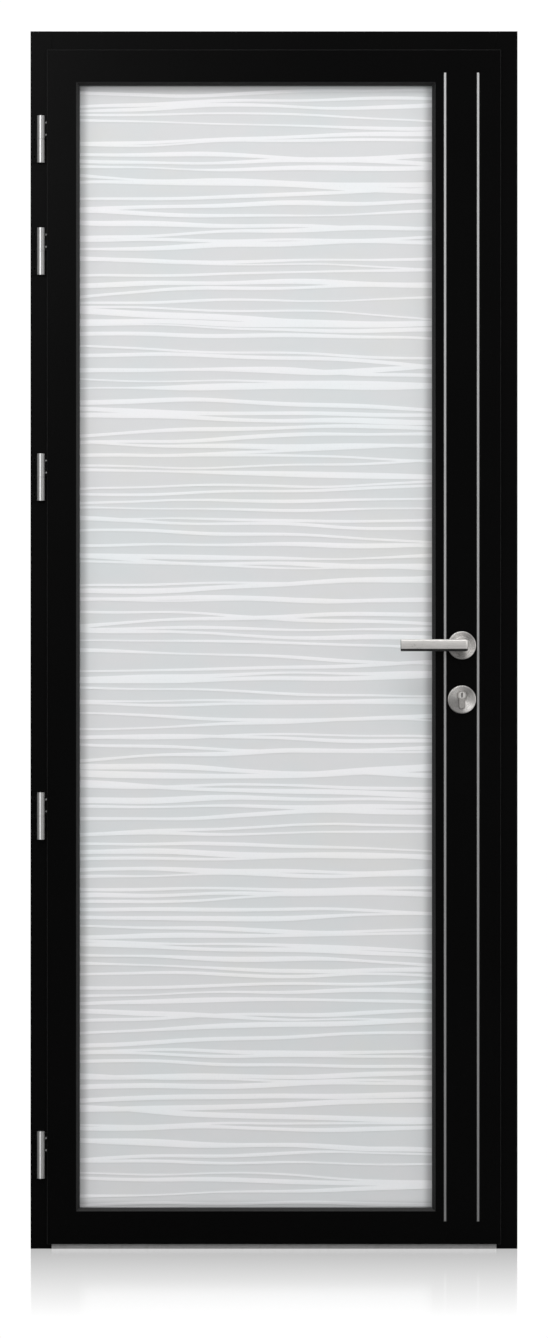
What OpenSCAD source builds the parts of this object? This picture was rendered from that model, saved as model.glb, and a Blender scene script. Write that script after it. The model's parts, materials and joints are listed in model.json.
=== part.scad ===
// Glass entrance door in its frame, hinged on the left and pulled open from the inside.
// X runs from the hinge side to the lock side, Y from the inside to the outside, Z up.
// The origin is the bottom centre of the frame, half way through its depth.

/* [Frame] */
// Width over the frame
frame_w = 900; // [750:5:1200]
// Height over the frame
frame_h = 2250; // [1850:5:2700]
// Depth of the frame
frame_d = 70; // [66:1:90]
// Frame face that shows beside the leaf
side_reveal = 31; // [24:1:45]
// Frame face that shows above the leaf
head_reveal = 35; // [24:1:50]
// Width of the stop that the leaf closes against
stop_w = 20; // [15:1:28]
// Wall of the aluminium bars
wall = 2; // [1.5:0.1:2.5]
// Depth of the frame's inner bar
frame_inner_d = 36; // [34:1:40]

/* [Leaf] */
// Thickness of the leaf between its two faces
leaf_t = 58; // [56:1:70]
// Thickness of the face sheets
skin_t = 2; // [1:0.5:3]
// Gap between the leaf's edge and the floor
foot_gap = 9; // [6:1:14]
// Width of the lip round the leaf
lip_w = 13; // [11:1:16]
// How far the lip laps over the frame
lip_lap = 8; // [6:1:10]
// Width of the aluminium bars inside the leaf
bar_w = 30; // [24:1:34]
// Leaf edge to glass on the hinge side
stile_hinge = 60; // [60:1:110]
// Leaf edge to glass on the lock side
stile_lock = 127; // [124:1:200]
// Leaf edge to glass at the top
rail_top = 66; // [62:1:150]
// Leaf edge to glass at the bottom
rail_bottom = 67; // [62:1:200]
// Width of the two metal inlay strips
inlay_w = 5; // [3:0.5:8]
// Leaf edge to the middle of the outer inlay strip
inlay_edge = 42; // [34:1:48]
// Distance between the middles of the inlay strips
inlay_step = 61; // [55:1:61]

/* [Glass] */
// Thickness of each pane
pane_t = 6; // [4:1:8]
// Space between the panes
pane_gap = 16; // [12:1:16]
// Depth of the inner pane below the leaf's face
glass_set = 18; // [14:1:22]
// How far the glass reaches behind its trims
glass_bite = 15; // [13:1:15]
// Width of the sloping trim round the glass
trim_w = 6; // [5:0.5:8]

/* [Handle and lock] */
// Height of the lever's axis
lever_z = 1115; // [1000:5:1200]
// Leaf body edge to the lever's axis
backset = 59; // [55:1:65]
// Lever axis down to the key axis
lock_pitch = 92; // [85:1:100]
// Lever axis to the end of the grip
lever_len = 114; // [95:1:140]
// Height of the lever's grip
lever_h = 22; // [18:1:26]
// Thickness of the lever's grip
lever_t = 12; // [10:0.5:16]
// Leaf face to the front of the lever
lever_out = 60; // [50:1:75]
// Radius of the roses
rose_r = 26; // [22:0.5:28]
// Thickness of the roses
rose_t = 8; // [6:0.5:10]
// Throw of the locking bolts
bolt_throw = 20; // [15:1:22]
// Leaf body top down to the upper locking bolt
upper_bolt_drop = 439; // [300:1:500]
// Height of the lower locking bolt
lower_bolt_z = 383; // [340:1:500]

/* [Hinges] */
// Height of each hinge barrel
hinge_h = 87; // [72:1:110]
// Radius of the barrel's metal sleeve
sleeve_r = 7; // [6.5:0.5:8]
// Radius of the hinge pin
pin_r = 4; // [3:0.5:4.5]
// Leaf edge to the hinge axis
hinge_out = 11.5; // [10.5:0.5:12.5]
// Hinge axis in front of the leaf's face
hinge_proud = 3; // [2:0.5:5]
// Height of the lowest hinge
hinge_foot = 174; // [120:1:240]
// Frame top down to the top hinge
hinge_top = 200; // [120:1:260]
// Distance between the two upper hinges
hinge_pair = 207; // [150:1:260]

/* [Hidden] */
$fn = 48;

// Clearances
fit = 0.05;       // a turning fit, on the radius
slip = 0.3;       // between a seal, block or bolt and what it lies beside
screw_fit = 0.1;  // round a screw
past = 1;         // how far a cut runs past the face that it cuts

// Depths, from the inside to the outside
front = -frame_d / 2;
back = frame_d / 2;
lip_gap = 2;
lip_t = 6;
face_y = front - lip_gap - lip_t;
skin_y = face_y + skin_t;
lip_y = face_y + lip_t;
leaf_y = face_y + leaf_t;
skin_out_y = leaf_y - skin_t;
stop_seal = 4;
stop_y = leaf_y + stop_seal;
frame_mid_y = front + frame_inner_d;
leaf_inner_d = 21;
leaf_gap_d = 20;
lock_y = skin_y + leaf_inner_d + leaf_gap_d / 2;
pane_in_y = face_y + glass_set;
pane_out_y = pane_in_y + pane_t + pane_gap;
glass_out_y = pane_out_y + pane_t;

// Outlines in the plane of the door, each [left, right, bottom, top]
function grow(r, d) = [r[0] - d, r[1] + d, r[2] - d, r[3] + d];
half_w = frame_w / 2;
lip = [side_reveal - half_w, half_w - side_reveal, foot_gap, frame_h - head_reveal];
body = grow(lip, -lip_w);
rebate_x = lip[1] - lip_lap;
rebate_z = lip[3] - lip_lap;
stop_x = rebate_x - stop_w;
stop_z = rebate_z - stop_w;
sill_gap = 4;
sill_h = body[2] - sill_gap;
sight = [lip[0] + stile_hinge, lip[1] - stile_lock, lip[2] + rail_bottom, lip[3] - rail_top];
cut_out = grow(sight, trim_w);
glass = grow(sight, glass_bite);
core = grow(body, -bar_w);

// Frame details
strip_t = 2;
block_len = 30;
fixing_r = 3.5;
fixing_in = 20;
fixing_foot = 300;
fixing_top = 100;
fixing_step = 650;
fixing_upper_step = 550;
fixing_y = front + fixing_in;
fixing_z = [fixing_foot, fixing_foot + fixing_step, frame_h - fixing_top - fixing_upper_step,
    frame_h - fixing_top];
access_r = 5;
screw_r = 2;
corner_screw_in = 10;
corner_screw_len = 25;
sill_screw_len = 30;
sill_web_y = -10;
sill_web_w = 8;

// Leaf details
inlay_x = [lip[1] - inlay_edge - inlay_step, lip[1] - inlay_edge];
inlay_end = 42;
inlay_proud = 0.3;
strip_edge = 5;
trim_flange = 8;
gasket_t = 2;
seal_w = 2;
spacer_w = 8;
lip_seal_in = 2;
lip_seal_w = 5;
carrier_w = 20;
carrier_t = 1.5;
brush_w = 6;

// Hinge details
hinge_x = lip[0] - hinge_out;
hinge_y = face_y - hinge_proud;
hinge_upper = frame_h - hinge_top - hinge_pair;
hinge_step = (hinge_upper - hinge_foot) * 3 / 8;
hinge_z = [hinge_foot, hinge_foot + hinge_step, hinge_foot + 2 * hinge_step, hinge_upper,
    frame_h - hinge_top];
hinge_split = 0.4;
sleeve_t = 1;
cap_t = 2;
knuckle_r = sleeve_r - sleeve_t;
wing_t = 3;
wing_inset = 1.5;
root_in = 2;
web_end = 1;
web_side = 0.5;
web_z = hinge_split / 2 + web_end;
web_h = hinge_h / 2 - cap_t - web_end - web_z;
flange_d = 34;
wing_edge = hinge_x - wing_inset;
wing_screw_x = (wing_inset - half_w + hinge_x - knuckle_r) / 2;
wing_screw_z = 32;
wing_screw_len = 10;
flange_screw_end = 8;
flange_screw_z = [web_z + flange_screw_end, web_z + web_h - flange_screw_end];
flange_screw_len = 12;
grub_r = 1.6;
grub_out = 0.5;
grub_x = (hinge_x + sleeve_r + lip[0]) / 2;
grub_drop = [12.7, 35];

// Lock details
lever_x = body[1] - backset;
key_z = lever_z - lock_pitch;
plate_t = 3;
case_t = 16;
case_wall = 1.5;
case_x = body[1] - plate_t;
case_behind = 25;
case_above = 55;
case_below = 50;
small_case_w = 45;
small_case_h = 80;
upper_bolt_z = body[3] - upper_bolt_drop;
bolt_t = 12;
bolt_h = 30;
latch_h = 24;
latch_up = 20;
latch_throw = 12;
latch_stay = 16;
latch_z = lever_z + latch_up;
dead_up = 39;
dead_stay = 26;
far_stay = 18;
dead_z = key_z + dead_up;
keep_t = 2;
keep_end = 18;
keep_screw_len = 12;
pocket_gap = 1;
plate_end = 60;
plate_screw_end = 12;
plate_screw_far = 50;
plate_screw_near = 80;
plate_screw_len = 9;
cylinder_r = 8.5;
cylinder_stem = 5;
cylinder_low = 24.5;
cylinder_out = 2.5;
rose_low = (cylinder_low - cylinder_r) / 2;
plug_r = 6.5;
cam_t = 10;
cam_r = 14.5;
follower_r = 11;
hub_r = 9;
spindle_w = 8;
spindle_in = 30;
cylinder_screw_z = key_z - 20;
cylinder_screw_r = 2.5;
cylinder_in_y = face_y - rose_t - cylinder_out;
cylinder_out_y = leaf_y + rose_t + cylinder_out;

// A box over an outline between two depths
module slab(r, y0, y1) {
    translate([r[0], y0, r[2]]) cube([r[1] - r[0], y1 - y0, r[3] - r[2]]);
}

// A flat ring between two outlines
module ring(outer, inner, y0, y1) {
    difference() {
        slab(outer, y0, y1);
        slab(inner, y0 - past, y1 + past);
    }
}

// A square-cut hollow bar along Z, then one along X
module bar_z(x0, x1, y0, y1, z1) {
    difference() {
        slab([x0, x1, 0, z1], y0, y1);
        slab([x0 + wall, x1 - wall, -past, z1 + past], y0 + wall, y1 - wall);
    }
}
module bar_x(reach, y0, y1, z0, z1) {
    difference() {
        slab([-reach, reach, z0, z1], y0, y1);
        slab([-reach - past, reach + past, z0 + wall, z1 - wall], y0 + wall, y1 - wall);
    }
}

// A shape drawn in X and Z, run from one depth to another
module along_y(y0, y1) {
    translate([0, y1, 0]) rotate([90, 0, 0]) linear_extrude(y1 - y0) children();
}

// A round bar along Y, and one along X
module rod_y(r, y0, y1) {
    translate([0, y0, 0]) rotate([-90, 0, 0]) cylinder(r = r, h = y1 - y0);
}
module rod_x(r, x0, x1) {
    translate([x0, 0, 0]) rotate([0, 90, 0]) cylinder(r = r, h = x1 - x0);
}

// Sides of an outline: 0 top, 1 right, 2 bottom, 3 left
function side_len(r, side) = side % 2 == 0 ? r[1] - r[0] : r[3] - r[2];
function side_at(r, side) =
    side == 0 ? [(r[0] + r[1]) / 2, 0, r[3]]
    : side == 1 ? [r[1], 0, (r[2] + r[3]) / 2]
    : side == 2 ? [(r[0] + r[1]) / 2, 0, r[2]]
    : [r[0], 0, (r[2] + r[3]) / 2];

// A bar on one side of an outline with both ends mitred. Its section is drawn with the depth first
// and the distance outwards from the outline second, within u0 and u1.
module mitred(r, side, u0, u1) {
    half = side_len(r, side) / 2;
    reach = half + max(u1, 0) + past;
    translate(side_at(r, side)) rotate([0, 90 * side, 0]) intersection() {
        translate([-reach, 0, 0]) rotate([90, 0, 90]) linear_extrude(2 * reach) children();
        along_y(face_y - past, leaf_y + past)
            polygon([[-half - u0, u0], [half + u0, u0], [half + u1, u1], [-half - u1, u1]]);
    }
}

// Screws: a countersunk one with its head's face at the origin, pointing along +Z
module screw(r, len, extra = 0) {
    cylinder(r1 = 2 * r + extra, r2 = r + extra, h = r);
    cylinder(r = r + extra, h = len + extra);
}
module towards_y() rotate([-90, 0, 0]) children();
module towards_x() rotate([0, 90, 0]) children();
module at_wing_screws() {
    for (z = hinge_z, dz = [-wing_screw_z, 0, wing_screw_z])
        translate([wing_screw_x, front - wing_t, z + dz]) towards_y() children();
}
module at_flange_screws() {
    for (z = hinge_z, dz = flange_screw_z)
        translate([body[0] - wing_t, skin_y + leaf_inner_d / 2, z + dz]) towards_x() children();
}
module at_grub_screws() {
    for (z = hinge_z, dz = grub_drop)
        translate([grub_x, skin_y - grub_out, z + hinge_h / 2 - dz]) towards_y() children();
}
module at_keep_screws() {
    for (k = keeps, z = [k[0] + keep_end / 2, k[1] - keep_end / 2])
        translate([rebate_x - keep_t, lock_y, z]) towards_x() children();
}
module at_plate_screws() {
    for (z = plate_screw_z) translate([body[1], lock_y, z]) mirror([1, 0, 0]) towards_x() children();
}
module at_corner_screws() {
    for (side = [-1, 1], y = [front + corner_screw_in, frame_mid_y - corner_screw_in])
        scale([side, 1, 1]) translate([rebate_x + wall, y, (rebate_z + frame_h) / 2])
            mirror([1, 0, 0]) towards_x() children();
}
module at_sill_screws() {
    for (side = [-1, 1])
        scale([side, 1, 1]) translate([rebate_x + wall, sill_web_y, sill_h / 2])
            mirror([1, 0, 0]) towards_x() children();
}

// Locking places: [middle, height] of each bolt, and [bottom, top] of each keep
latch = [latch_z, latch_h];
dead = [dead_z, bolt_h];
upper = [upper_bolt_z, bolt_h];
lower = [lower_bolt_z, bolt_h];
bolts = [latch, dead, upper, lower];
function keep_span(low, high) =
    [low[0] - low[1] / 2 - keep_end, high[0] + high[1] / 2 + keep_end];
keeps = [keep_span(dead, latch), keep_span(upper, upper), keep_span(lower, lower)];
plate_span = [lower_bolt_z - plate_end, upper_bolt_z + plate_end];
plate_screw_z = [plate_span[0] + plate_screw_end, lower_bolt_z + plate_screw_far,
    key_z - plate_screw_near, lever_z + plate_screw_near, upper_bolt_z - plate_screw_far,
    plate_span[1] - plate_screw_end];

// ---- Frame ----

// The space that the bolts enter, from the keep's face into the jamb
module bolt_pockets(x0, x1, gap) {
    for (b = bolts)
        translate([x0, lock_y - bolt_t / 2 - gap, b[0] - b[1] / 2 - gap])
            cube([x1 - x0, bolt_t + 2 * gap, b[1] + 2 * gap]);
}

// One jamb, drawn on the lock side
module jamb_bars() {
    difference() {
        bar_z(rebate_x, half_w, front, frame_mid_y, frame_h);
        for (z = fixing_z)
            translate([0, fixing_y, z]) rod_x(fixing_r, rebate_x - past, half_w + past);
    }
    bar_z(stop_x, half_w, stop_y, back, frame_h);
}

// The joints' screws, and their access holes in the jamb's outer wall
module joint_holes() {
    at_corner_screws() cylinder(r = screw_r + screw_fit, h = corner_screw_len);
    at_sill_screws() cylinder(r = screw_r + screw_fit, h = sill_screw_len);
    at_corner_screws() mirror([0, 0, 1]) translate([0, 0, wall]) cylinder(r = access_r, h = half_w);
    at_sill_screws() mirror([0, 0, 1]) translate([0, 0, wall]) cylinder(r = access_r, h = half_w);
}

module jamb_hinge() color("#17181a") difference() {
    mirror([1, 0, 0]) jamb_bars();
    joint_holes();
    at_wing_screws() screw(screw_r, wing_screw_len, screw_fit);
}

module jamb_lock() color("#17181a") difference() {
    jamb_bars();
    joint_holes();
    bolt_pockets(rebate_x - past, rebate_x + wall + past, pocket_gap);
    at_keep_screws() screw(screw_r, keep_screw_len, screw_fit);
}

module head() color("#17181a") {
    bar_x(rebate_x, front, frame_mid_y, rebate_z, frame_h);
    bar_x(stop_x, stop_y, back, stop_z, frame_h);
}

// Plastic strips that join the inner and outer bars and break the cold path
module frame_thermal_strips() color("#2a2a2c") {
    for (side = [0, 1], x = [rebate_x + wall, half_w - wall - strip_t])
        mirror([side, 0, 0]) slab([x, x + strip_t, 0, frame_h], frame_mid_y, stop_y);
    for (z = [rebate_z + wall, frame_h - wall - strip_t])
        slab([-rebate_x, rebate_x, z, z + strip_t], frame_mid_y, stop_y);
}

// Low sill between the jambs, sloping down to the outside
module threshold() color("#8f9396") {
    floor_t = 3;
    nose_h = 4;
    bevel = 3;
    difference() {
        translate([-rebate_x, 0, 0]) rotate([90, 0, 90]) linear_extrude(2 * rebate_x) difference() {
            polygon([[front, 0], [back, 0], [back, nose_h], [stop_y, sill_h],
                [front + bevel, sill_h], [front, sill_h - bevel]]);
            translate([front + floor_t, floor_t])
                square([sill_web_y - sill_web_w / 2 - front - floor_t, sill_h - 2 * floor_t]);
            translate([sill_web_y + sill_web_w / 2, floor_t])
                square([stop_y - sill_web_y - sill_web_w / 2, sill_h - 2 * floor_t]);
        }
        for (side = [0, 1])
            mirror([side, 0, 0])
                slab([stop_x, rebate_x + past, -past, sill_h + past], stop_y, back + past);
        at_sill_screws() cylinder(r = screw_r + screw_fit, h = sill_screw_len + past);
    }
}

// Metal blocks in the ends of the head, which the corner screws hold
module frame_corner_blocks() color("#b9bcbe") difference() {
    for (side = [0, 1])
        mirror([side, 0, 0])
            slab([rebate_x - block_len, rebate_x, rebate_z + wall + screw_fit,
                frame_h - wall - screw_fit], front + wall + screw_fit, frame_mid_y - wall - screw_fit);
    at_corner_screws() cylinder(r = screw_r + screw_fit, h = corner_screw_len + past);
}

// Rubber seal on the stop, round three sides
module stop_gasket() color("#101010") {
    edge = 2;
    seal_w = 7;
    difference() {
        slab([-stop_x - edge - seal_w, stop_x + edge + seal_w, sill_h, stop_z + edge + seal_w],
            leaf_y + slip, stop_y);
        slab([-stop_x - edge, stop_x + edge, sill_h - past, stop_z + edge], leaf_y, stop_y + past);
    }
}

// Steel plate on the jamb with a pocket for each bolt
module keep(span) color("#a9abad") difference() {
    slab([rebate_x - keep_t, rebate_x, span[0], span[1]], lock_y - leaf_gap_d / 2,
        lock_y + leaf_gap_d / 2);
    bolt_pockets(rebate_x - keep_t - past, rebate_x + past, pocket_gap);
    at_keep_screws() screw(screw_r, keep_screw_len, screw_fit);
}
module keep_centre() keep(keeps[0]);
module keep_upper() keep(keeps[1]);
module keep_lower() keep(keeps[2]);

module frame_screws() color("#8c8e90") {
    at_wing_screws() screw(screw_r, wing_screw_len);
    at_keep_screws() screw(screw_r, keep_screw_len);
    at_corner_screws() pan_screw(corner_screw_len);
    at_sill_screws() pan_screw(sill_screw_len);
}
module pan_screw(len) {
    cylinder(r = screw_r, h = len);
    mirror([0, 0, 1]) cylinder(r = 2 * screw_r, h = screw_r);
}

// ---- Hinges ----

module at_hinges() {
    for (z = hinge_z) translate([hinge_x, hinge_y, z]) children();
}

// Frame half: a plate on the frame's face, the lower knuckle and the web that joins them
module frame_wing() {
    low = -hinge_h / 2;
    difference() {
        union() {
            translate([wing_inset - half_w - hinge_x, front - wing_t - hinge_y, low])
                cube([wing_edge + half_w - wing_inset, wing_t, hinge_h]);
            translate([0, 0, low + cap_t]) cylinder(r = knuckle_r, h = web_h + 2 * web_end);
            translate([-knuckle_r, root_in, -web_z - web_h])
                cube([knuckle_r, front - hinge_y - root_in, web_h]);
        }
        translate([0, 0, low + cap_t + wing_t]) cylinder(r = pin_r + fit / 2, h = hinge_h);
    }
}
module hinge_frame_wings() color("#17181a") difference() {
    at_hinges() frame_wing();
    at_wing_screws() screw(screw_r, wing_screw_len, screw_fit);
}

// Leaf half: the upper knuckle, a web that passes behind the lip's face and a flange on the leaf
module leaf_wing() {
    difference() {
        union() {
            translate([0, 0, hinge_split / 2]) cylinder(r = knuckle_r, h = web_h + 2 * web_end);
            translate([0, root_in, web_z]) cube([knuckle_r - web_side, lip_y - hinge_y - root_in, web_h]);
            translate([0, skin_y - hinge_y, web_z])
                cube([body[0] - hinge_x, lip_y - skin_y, web_h]);
            translate([body[0] - wing_t - hinge_x, skin_y - hinge_y, web_z])
                cube([wing_t, flange_d, web_h]);
        }
        cylinder(r = pin_r + fit, h = hinge_h / 2 - cap_t - wing_t);
    }
}
module hinge_leaf_wings() color("#17181a") difference() {
    at_hinges() leaf_wing();
    at_flange_screws() screw(screw_r, flange_screw_len, screw_fit);
    at_grub_screws() cylinder(r = grub_r + screw_fit, h = lip_t);
}

module hinge_pins() color("#b9bcbe") {
    pin_half = hinge_h / 2 - cap_t - wing_t - slip;
    at_hinges() translate([0, 0, -pin_half]) cylinder(r = pin_r, h = 2 * pin_half);
}

// Bright sleeve over one knuckle, closed at its end and cut for the web
module sleeve() {
    difference() {
        translate([0, 0, hinge_split / 2]) cylinder(r = sleeve_r, h = (hinge_h - hinge_split) / 2);
        cylinder(r = knuckle_r + fit, h = hinge_h / 2 - cap_t);
        translate([-fit, root_in - fit, -past])
            cube([2 * sleeve_r, 2 * sleeve_r, web_z + web_h + past + fit]);
    }
}
module hinge_sleeves_upper() color("#9b9da0") at_hinges() sleeve();
module hinge_sleeves_lower() color("#9b9da0") at_hinges() rotate([0, 180, 0]) sleeve();

// ---- Leaf ----

module lock_holes(extra) {
    translate([lever_x, 0, lever_z]) rod_y(hub_r + extra, face_y - past, leaf_y + past);
    translate([lever_x, 0, key_z]) along_y(face_y - past, leaf_y + past) cylinder_outline(extra);
}

// Inside face: one sheet that also covers the lip, with slots for the inlay strips
module inner_skin() color("#1a1b1d") difference() {
    ring(lip, cut_out, face_y, skin_y);
    for (x = inlay_x) slab(inlay_outline(x), face_y - past, skin_y + past);
    lock_holes(1);
}
function inlay_outline(x) = [x - inlay_w / 2, x + inlay_w / 2, lip[2] + inlay_end, lip[3] - inlay_end];

module outer_skin() color("#1a1b1d") difference() {
    ring(body, cut_out, skin_out_y, leaf_y);
    lock_holes(1);
}

// Section of the leaf's bars: an inner bar with the lip, and an outer bar
module leaf_bar_section() {
    difference() {
        translate([skin_y, -bar_w]) square([leaf_inner_d, bar_w]);
        translate([skin_y + wall, wall - bar_w]) square([leaf_inner_d - 2 * wall, bar_w - 2 * wall]);
    }
    translate([skin_y, -wall]) square([lip_y - skin_y, lip_w + wall]);
    outer_d = skin_out_y - skin_y - leaf_inner_d - leaf_gap_d;
    translate([skin_out_y - outer_d, -bar_w]) difference() {
        square([outer_d, bar_w]);
        translate([wall, wall]) square([outer_d - 2 * wall, bar_w - 2 * wall]);
    }
}
module leaf_bar(side) mitred(body, side, -bar_w, lip_w) leaf_bar_section();

module leaf_stile_hinge() color("#17181a") difference() {
    leaf_bar(3);
    for (z = hinge_z)
        slab([lip[0] - past, body[0], z + web_z - slip, z + web_z + web_h + slip],
            skin_y - past, lip_y + past);
    at_flange_screws() screw(screw_r, flange_screw_len, screw_fit);
}
module leaf_stile_lock() color("#17181a") leaf_bar(1);
module leaf_rail_top() color("#17181a") leaf_bar(0);
module leaf_rail_bottom() color("#17181a") leaf_bar(2);

module lock_case_blocks(extra) {
    slab(grow([lever_x - case_behind, case_x, key_z - case_below, lever_z + case_above], extra),
        lock_y - case_t / 2 - extra, lock_y + case_t / 2 + extra);
    for (z = [upper_bolt_z, lower_bolt_z])
        slab(grow([case_x - small_case_w, case_x, z - small_case_h / 2, z + small_case_h / 2], extra),
            lock_y - case_t / 2 - extra, lock_y + case_t / 2 + extra);
}

// Plastic strips between the inner and outer bars of the leaf
module leaf_thermal_strips() color("#2a2a2c") difference() {
    for (side = [0:3], u = [-strip_edge - strip_t, strip_edge - bar_w])
        mitred(body, side, u, u + strip_t)
            translate([skin_y + leaf_inner_d, u]) square([leaf_gap_d, strip_t]);
    lock_case_blocks(slip);
    at_plate_screws() screw(screw_r, plate_screw_len, screw_fit);
}

// Metal angles that hold the mitred corners together
module leaf_corner_cleats() color("#b9bcbe") {
    leg = 60;
    inside = grow(body, -wall - screw_fit);
    cleat_w = bar_w - 2 * wall - 2 * screw_fit;
    for (x = [0, 1], z = [2, 3])
        translate([inside[x], 0, inside[z]]) scale([1 - 2 * x, 1, 5 - 2 * z])
            along_y(skin_y + wall + screw_fit, skin_y + leaf_inner_d - wall - screw_fit)
                polygon([[0, 0], [leg, 0], [leg, cleat_w], [cleat_w, cleat_w], [cleat_w, leg], [0, leg]]);
}

// Rigid foam that fills the wide stile beside the glass
module foam_core() color("#d8cfa8") difference() {
    slab([glass[1] + strip_t, core[1], core[2], core[3]], skin_y, skin_out_y);
    lock_case_blocks(slip);
    lock_holes(2);
}

// Sloping trim: its section starts at the leaf's face and ends on the glazing gasket
module trim_section(depth) {
    bend_in = 1.2;
    bend_out = 0.8;
    polygon([[depth, 0], [trim_w, 0], [0, trim_w], [skin_t, trim_w], [skin_t, trim_w + trim_flange],
        [skin_t + wall, trim_w + trim_flange], [skin_t + wall, trim_w - bend_in],
        [trim_w + bend_out, wall], [depth, wall]]);
}
module inner_trim(side) color("#26282a") mitred(sight, side, 0, trim_w + trim_flange)
    translate([face_y, 0]) trim_section(glass_set - gasket_t);
module inner_trim_top() inner_trim(0);
module inner_trim_right() inner_trim(1);
module inner_trim_bottom() inner_trim(2);
module inner_trim_left() inner_trim(3);
module outer_trims() color("#26282a") for (side = [0:3])
    mitred(sight, side, 0, trim_w + trim_flange)
        translate([leaf_y, 0]) mirror([1, 0]) trim_section(leaf_y - glass_out_y - gasket_t);

// Sealed glass unit
module inner_pane() color("#dfe6e4", 0.9) slab(glass, pane_in_y, pane_in_y + pane_t);
module outer_pane() color("#dfe6e4", 0.9) slab(glass, pane_out_y, glass_out_y);
module spacer_bar() color("#3a3b3d")
    ring(grow(glass, -seal_w), grow(glass, -seal_w - spacer_w), pane_in_y + pane_t, pane_out_y);
module edge_seal() color("#202021")
    ring(glass, grow(glass, -seal_w), pane_in_y + pane_t, pane_out_y);

// Plastic blocks that carry the glass and keep it clear of the bars
module setting_blocks() color("#46607a") {
    block = 100;
    around = [core[0], glass[1] + strip_t, core[2], core[3]];
    for (side = [0:3], place = [-0.25, 0.25]) {
        gap = [around[3] - glass[3], around[1] - glass[1], glass[2] - around[2], glass[0] - around[0]];
        translate(side_at(glass, side)) rotate([0, 90 * side, 0])
            translate([place * side_len(glass, side) - block / 2, pane_in_y, 0])
                cube([block, glass_out_y - pane_in_y, gap[side]]);
    }
}
module glazing_gaskets() color("#101010") {
    ring(cut_out, sight, pane_in_y - gasket_t, pane_in_y);
    ring(cut_out, sight, glass_out_y, glass_out_y + gasket_t);
}

// Rubber seal behind the lip
module lip_gasket() color("#101010")
    ring(grow(lip, -lip_seal_in), grow(lip, -lip_seal_in - lip_seal_w), lip_y, front - slip);

// Brush seal under the leaf, held in a channel between the two bottom bars
module bottom_seal_carrier() color("#8f9396") difference() {
    slab([core[0], core[1], body[2], body[2] + strip_edge], lock_y - carrier_w / 2,
        lock_y + carrier_w / 2);
    slab([core[0] - past, core[1] + past, body[2] - past, body[2] + strip_edge - carrier_t],
        lock_y - brush_w / 2, lock_y + brush_w / 2);
}
module bottom_brush() color("#1c1c1c")
    slab([core[0], core[1], sill_h + slip, body[2] + strip_edge - carrier_t],
        lock_y - brush_w / 2, lock_y + brush_w / 2);

// Rail that throws rain clear of the sill
module drip_rail() color("#17181a") {
    end_gap = 6;
    raised = 2;
    out = 13;
    nose_w = 3;
    nose_drop = 1.5;
    rail_h = 15;
    top_w = 2;
    reach = stop_x - end_gap;
    translate([-reach, leaf_y, body[2] + raised]) rotate([90, 0, 90]) linear_extrude(2 * reach)
        polygon([[0, 0], [out - nose_w, 0], [out - nose_w, -nose_drop], [out, -nose_drop],
            [out, nose_w], [top_w, rail_h], [0, rail_h]]);
}

module inlay(x) color("#b4b6b8") slab(inlay_outline(x), face_y - inlay_proud, skin_y);
module inlay_left() inlay(inlay_x[0]);
module inlay_right() inlay(inlay_x[1]);

// ---- Lock ----

// Profile of the key cylinder: a round head over a narrow stem
module cylinder_outline(extra) {
    circle(r = cylinder_r + extra);
    stem = cylinder_low - cylinder_stem;
    translate([-cylinder_stem - extra, -stem]) square([2 * (cylinder_stem + extra), stem]);
    translate([0, -stem]) circle(r = cylinder_stem + extra);
}

module lock_faceplate() color("#b9bcbe") difference() {
    slab([case_x, body[1], plate_span[0], plate_span[1]], lock_y - leaf_gap_d / 2,
        lock_y + leaf_gap_d / 2);
    bolt_pockets(case_x - past, body[1] + past, slip);
    at_plate_screws() screw(screw_r, plate_screw_len, screw_fit);
    cylinder_screw(screw_fit);
}

// Long screw from the leaf's edge that holds the key cylinder
module cylinder_screw(extra) {
    translate([body[1], lock_y, cylinder_screw_z]) mirror([1, 0, 0]) towards_x()
        screw(cylinder_screw_r, backset, extra);
}

// Steel boxes round the lock's works, open towards the faceplate where the bolts pass
module lock_cases() color("#9fa3a6") difference() {
    lock_case_blocks(0);
    lock_case_blocks(-case_wall);
    bolt_pockets(case_x - 2 * case_wall, case_x + past, slip);
    translate([lever_x, 0, lever_z]) rod_y(hub_r + fit, lock_y - case_t, lock_y + case_t);
    translate([lever_x, 0, key_z]) along_y(lock_y - case_t, lock_y + case_t)
        cylinder_outline(slip);
    cylinder_screw(screw_fit);
}

// A bolt flush with the faceplate, drawn back into its case
module bolt(b, len) {
    slab([body[1] - len, body[1], b[0] - b[1] / 2, b[0] + b[1] / 2], lock_y - bolt_t / 2,
        lock_y + bolt_t / 2);
}
module latch_bolt() color("#c4c6c8") {
    head_len = latch_throw + latch_stay;
    tail_len = 26;
    tail_t = 4;
    bevel = 11;
    difference() {
        bolt(latch, head_len);
        translate([body[1], lock_y + bolt_t / 2, latch_z]) rotate([0, 0, 45])
            cube([bevel * sqrt(2) / 2, bevel * sqrt(2), latch_h + 2 * past], center = true);
    }
    slab([body[1] - head_len - tail_len, body[1] - head_len, latch_z + latch_h / 2 - 2 * tail_t,
        latch_z + latch_h / 2 - tail_t], lock_y - tail_t, lock_y + tail_t);
}
module dead_bolt() color("#c4c6c8") bolt(dead, bolt_throw + dead_stay);
module upper_bolt() color("#c4c6c8") bolt(upper, bolt_throw + far_stay);
module lower_bolt() color("#c4c6c8") bolt(lower, bolt_throw + far_stay);

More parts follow.
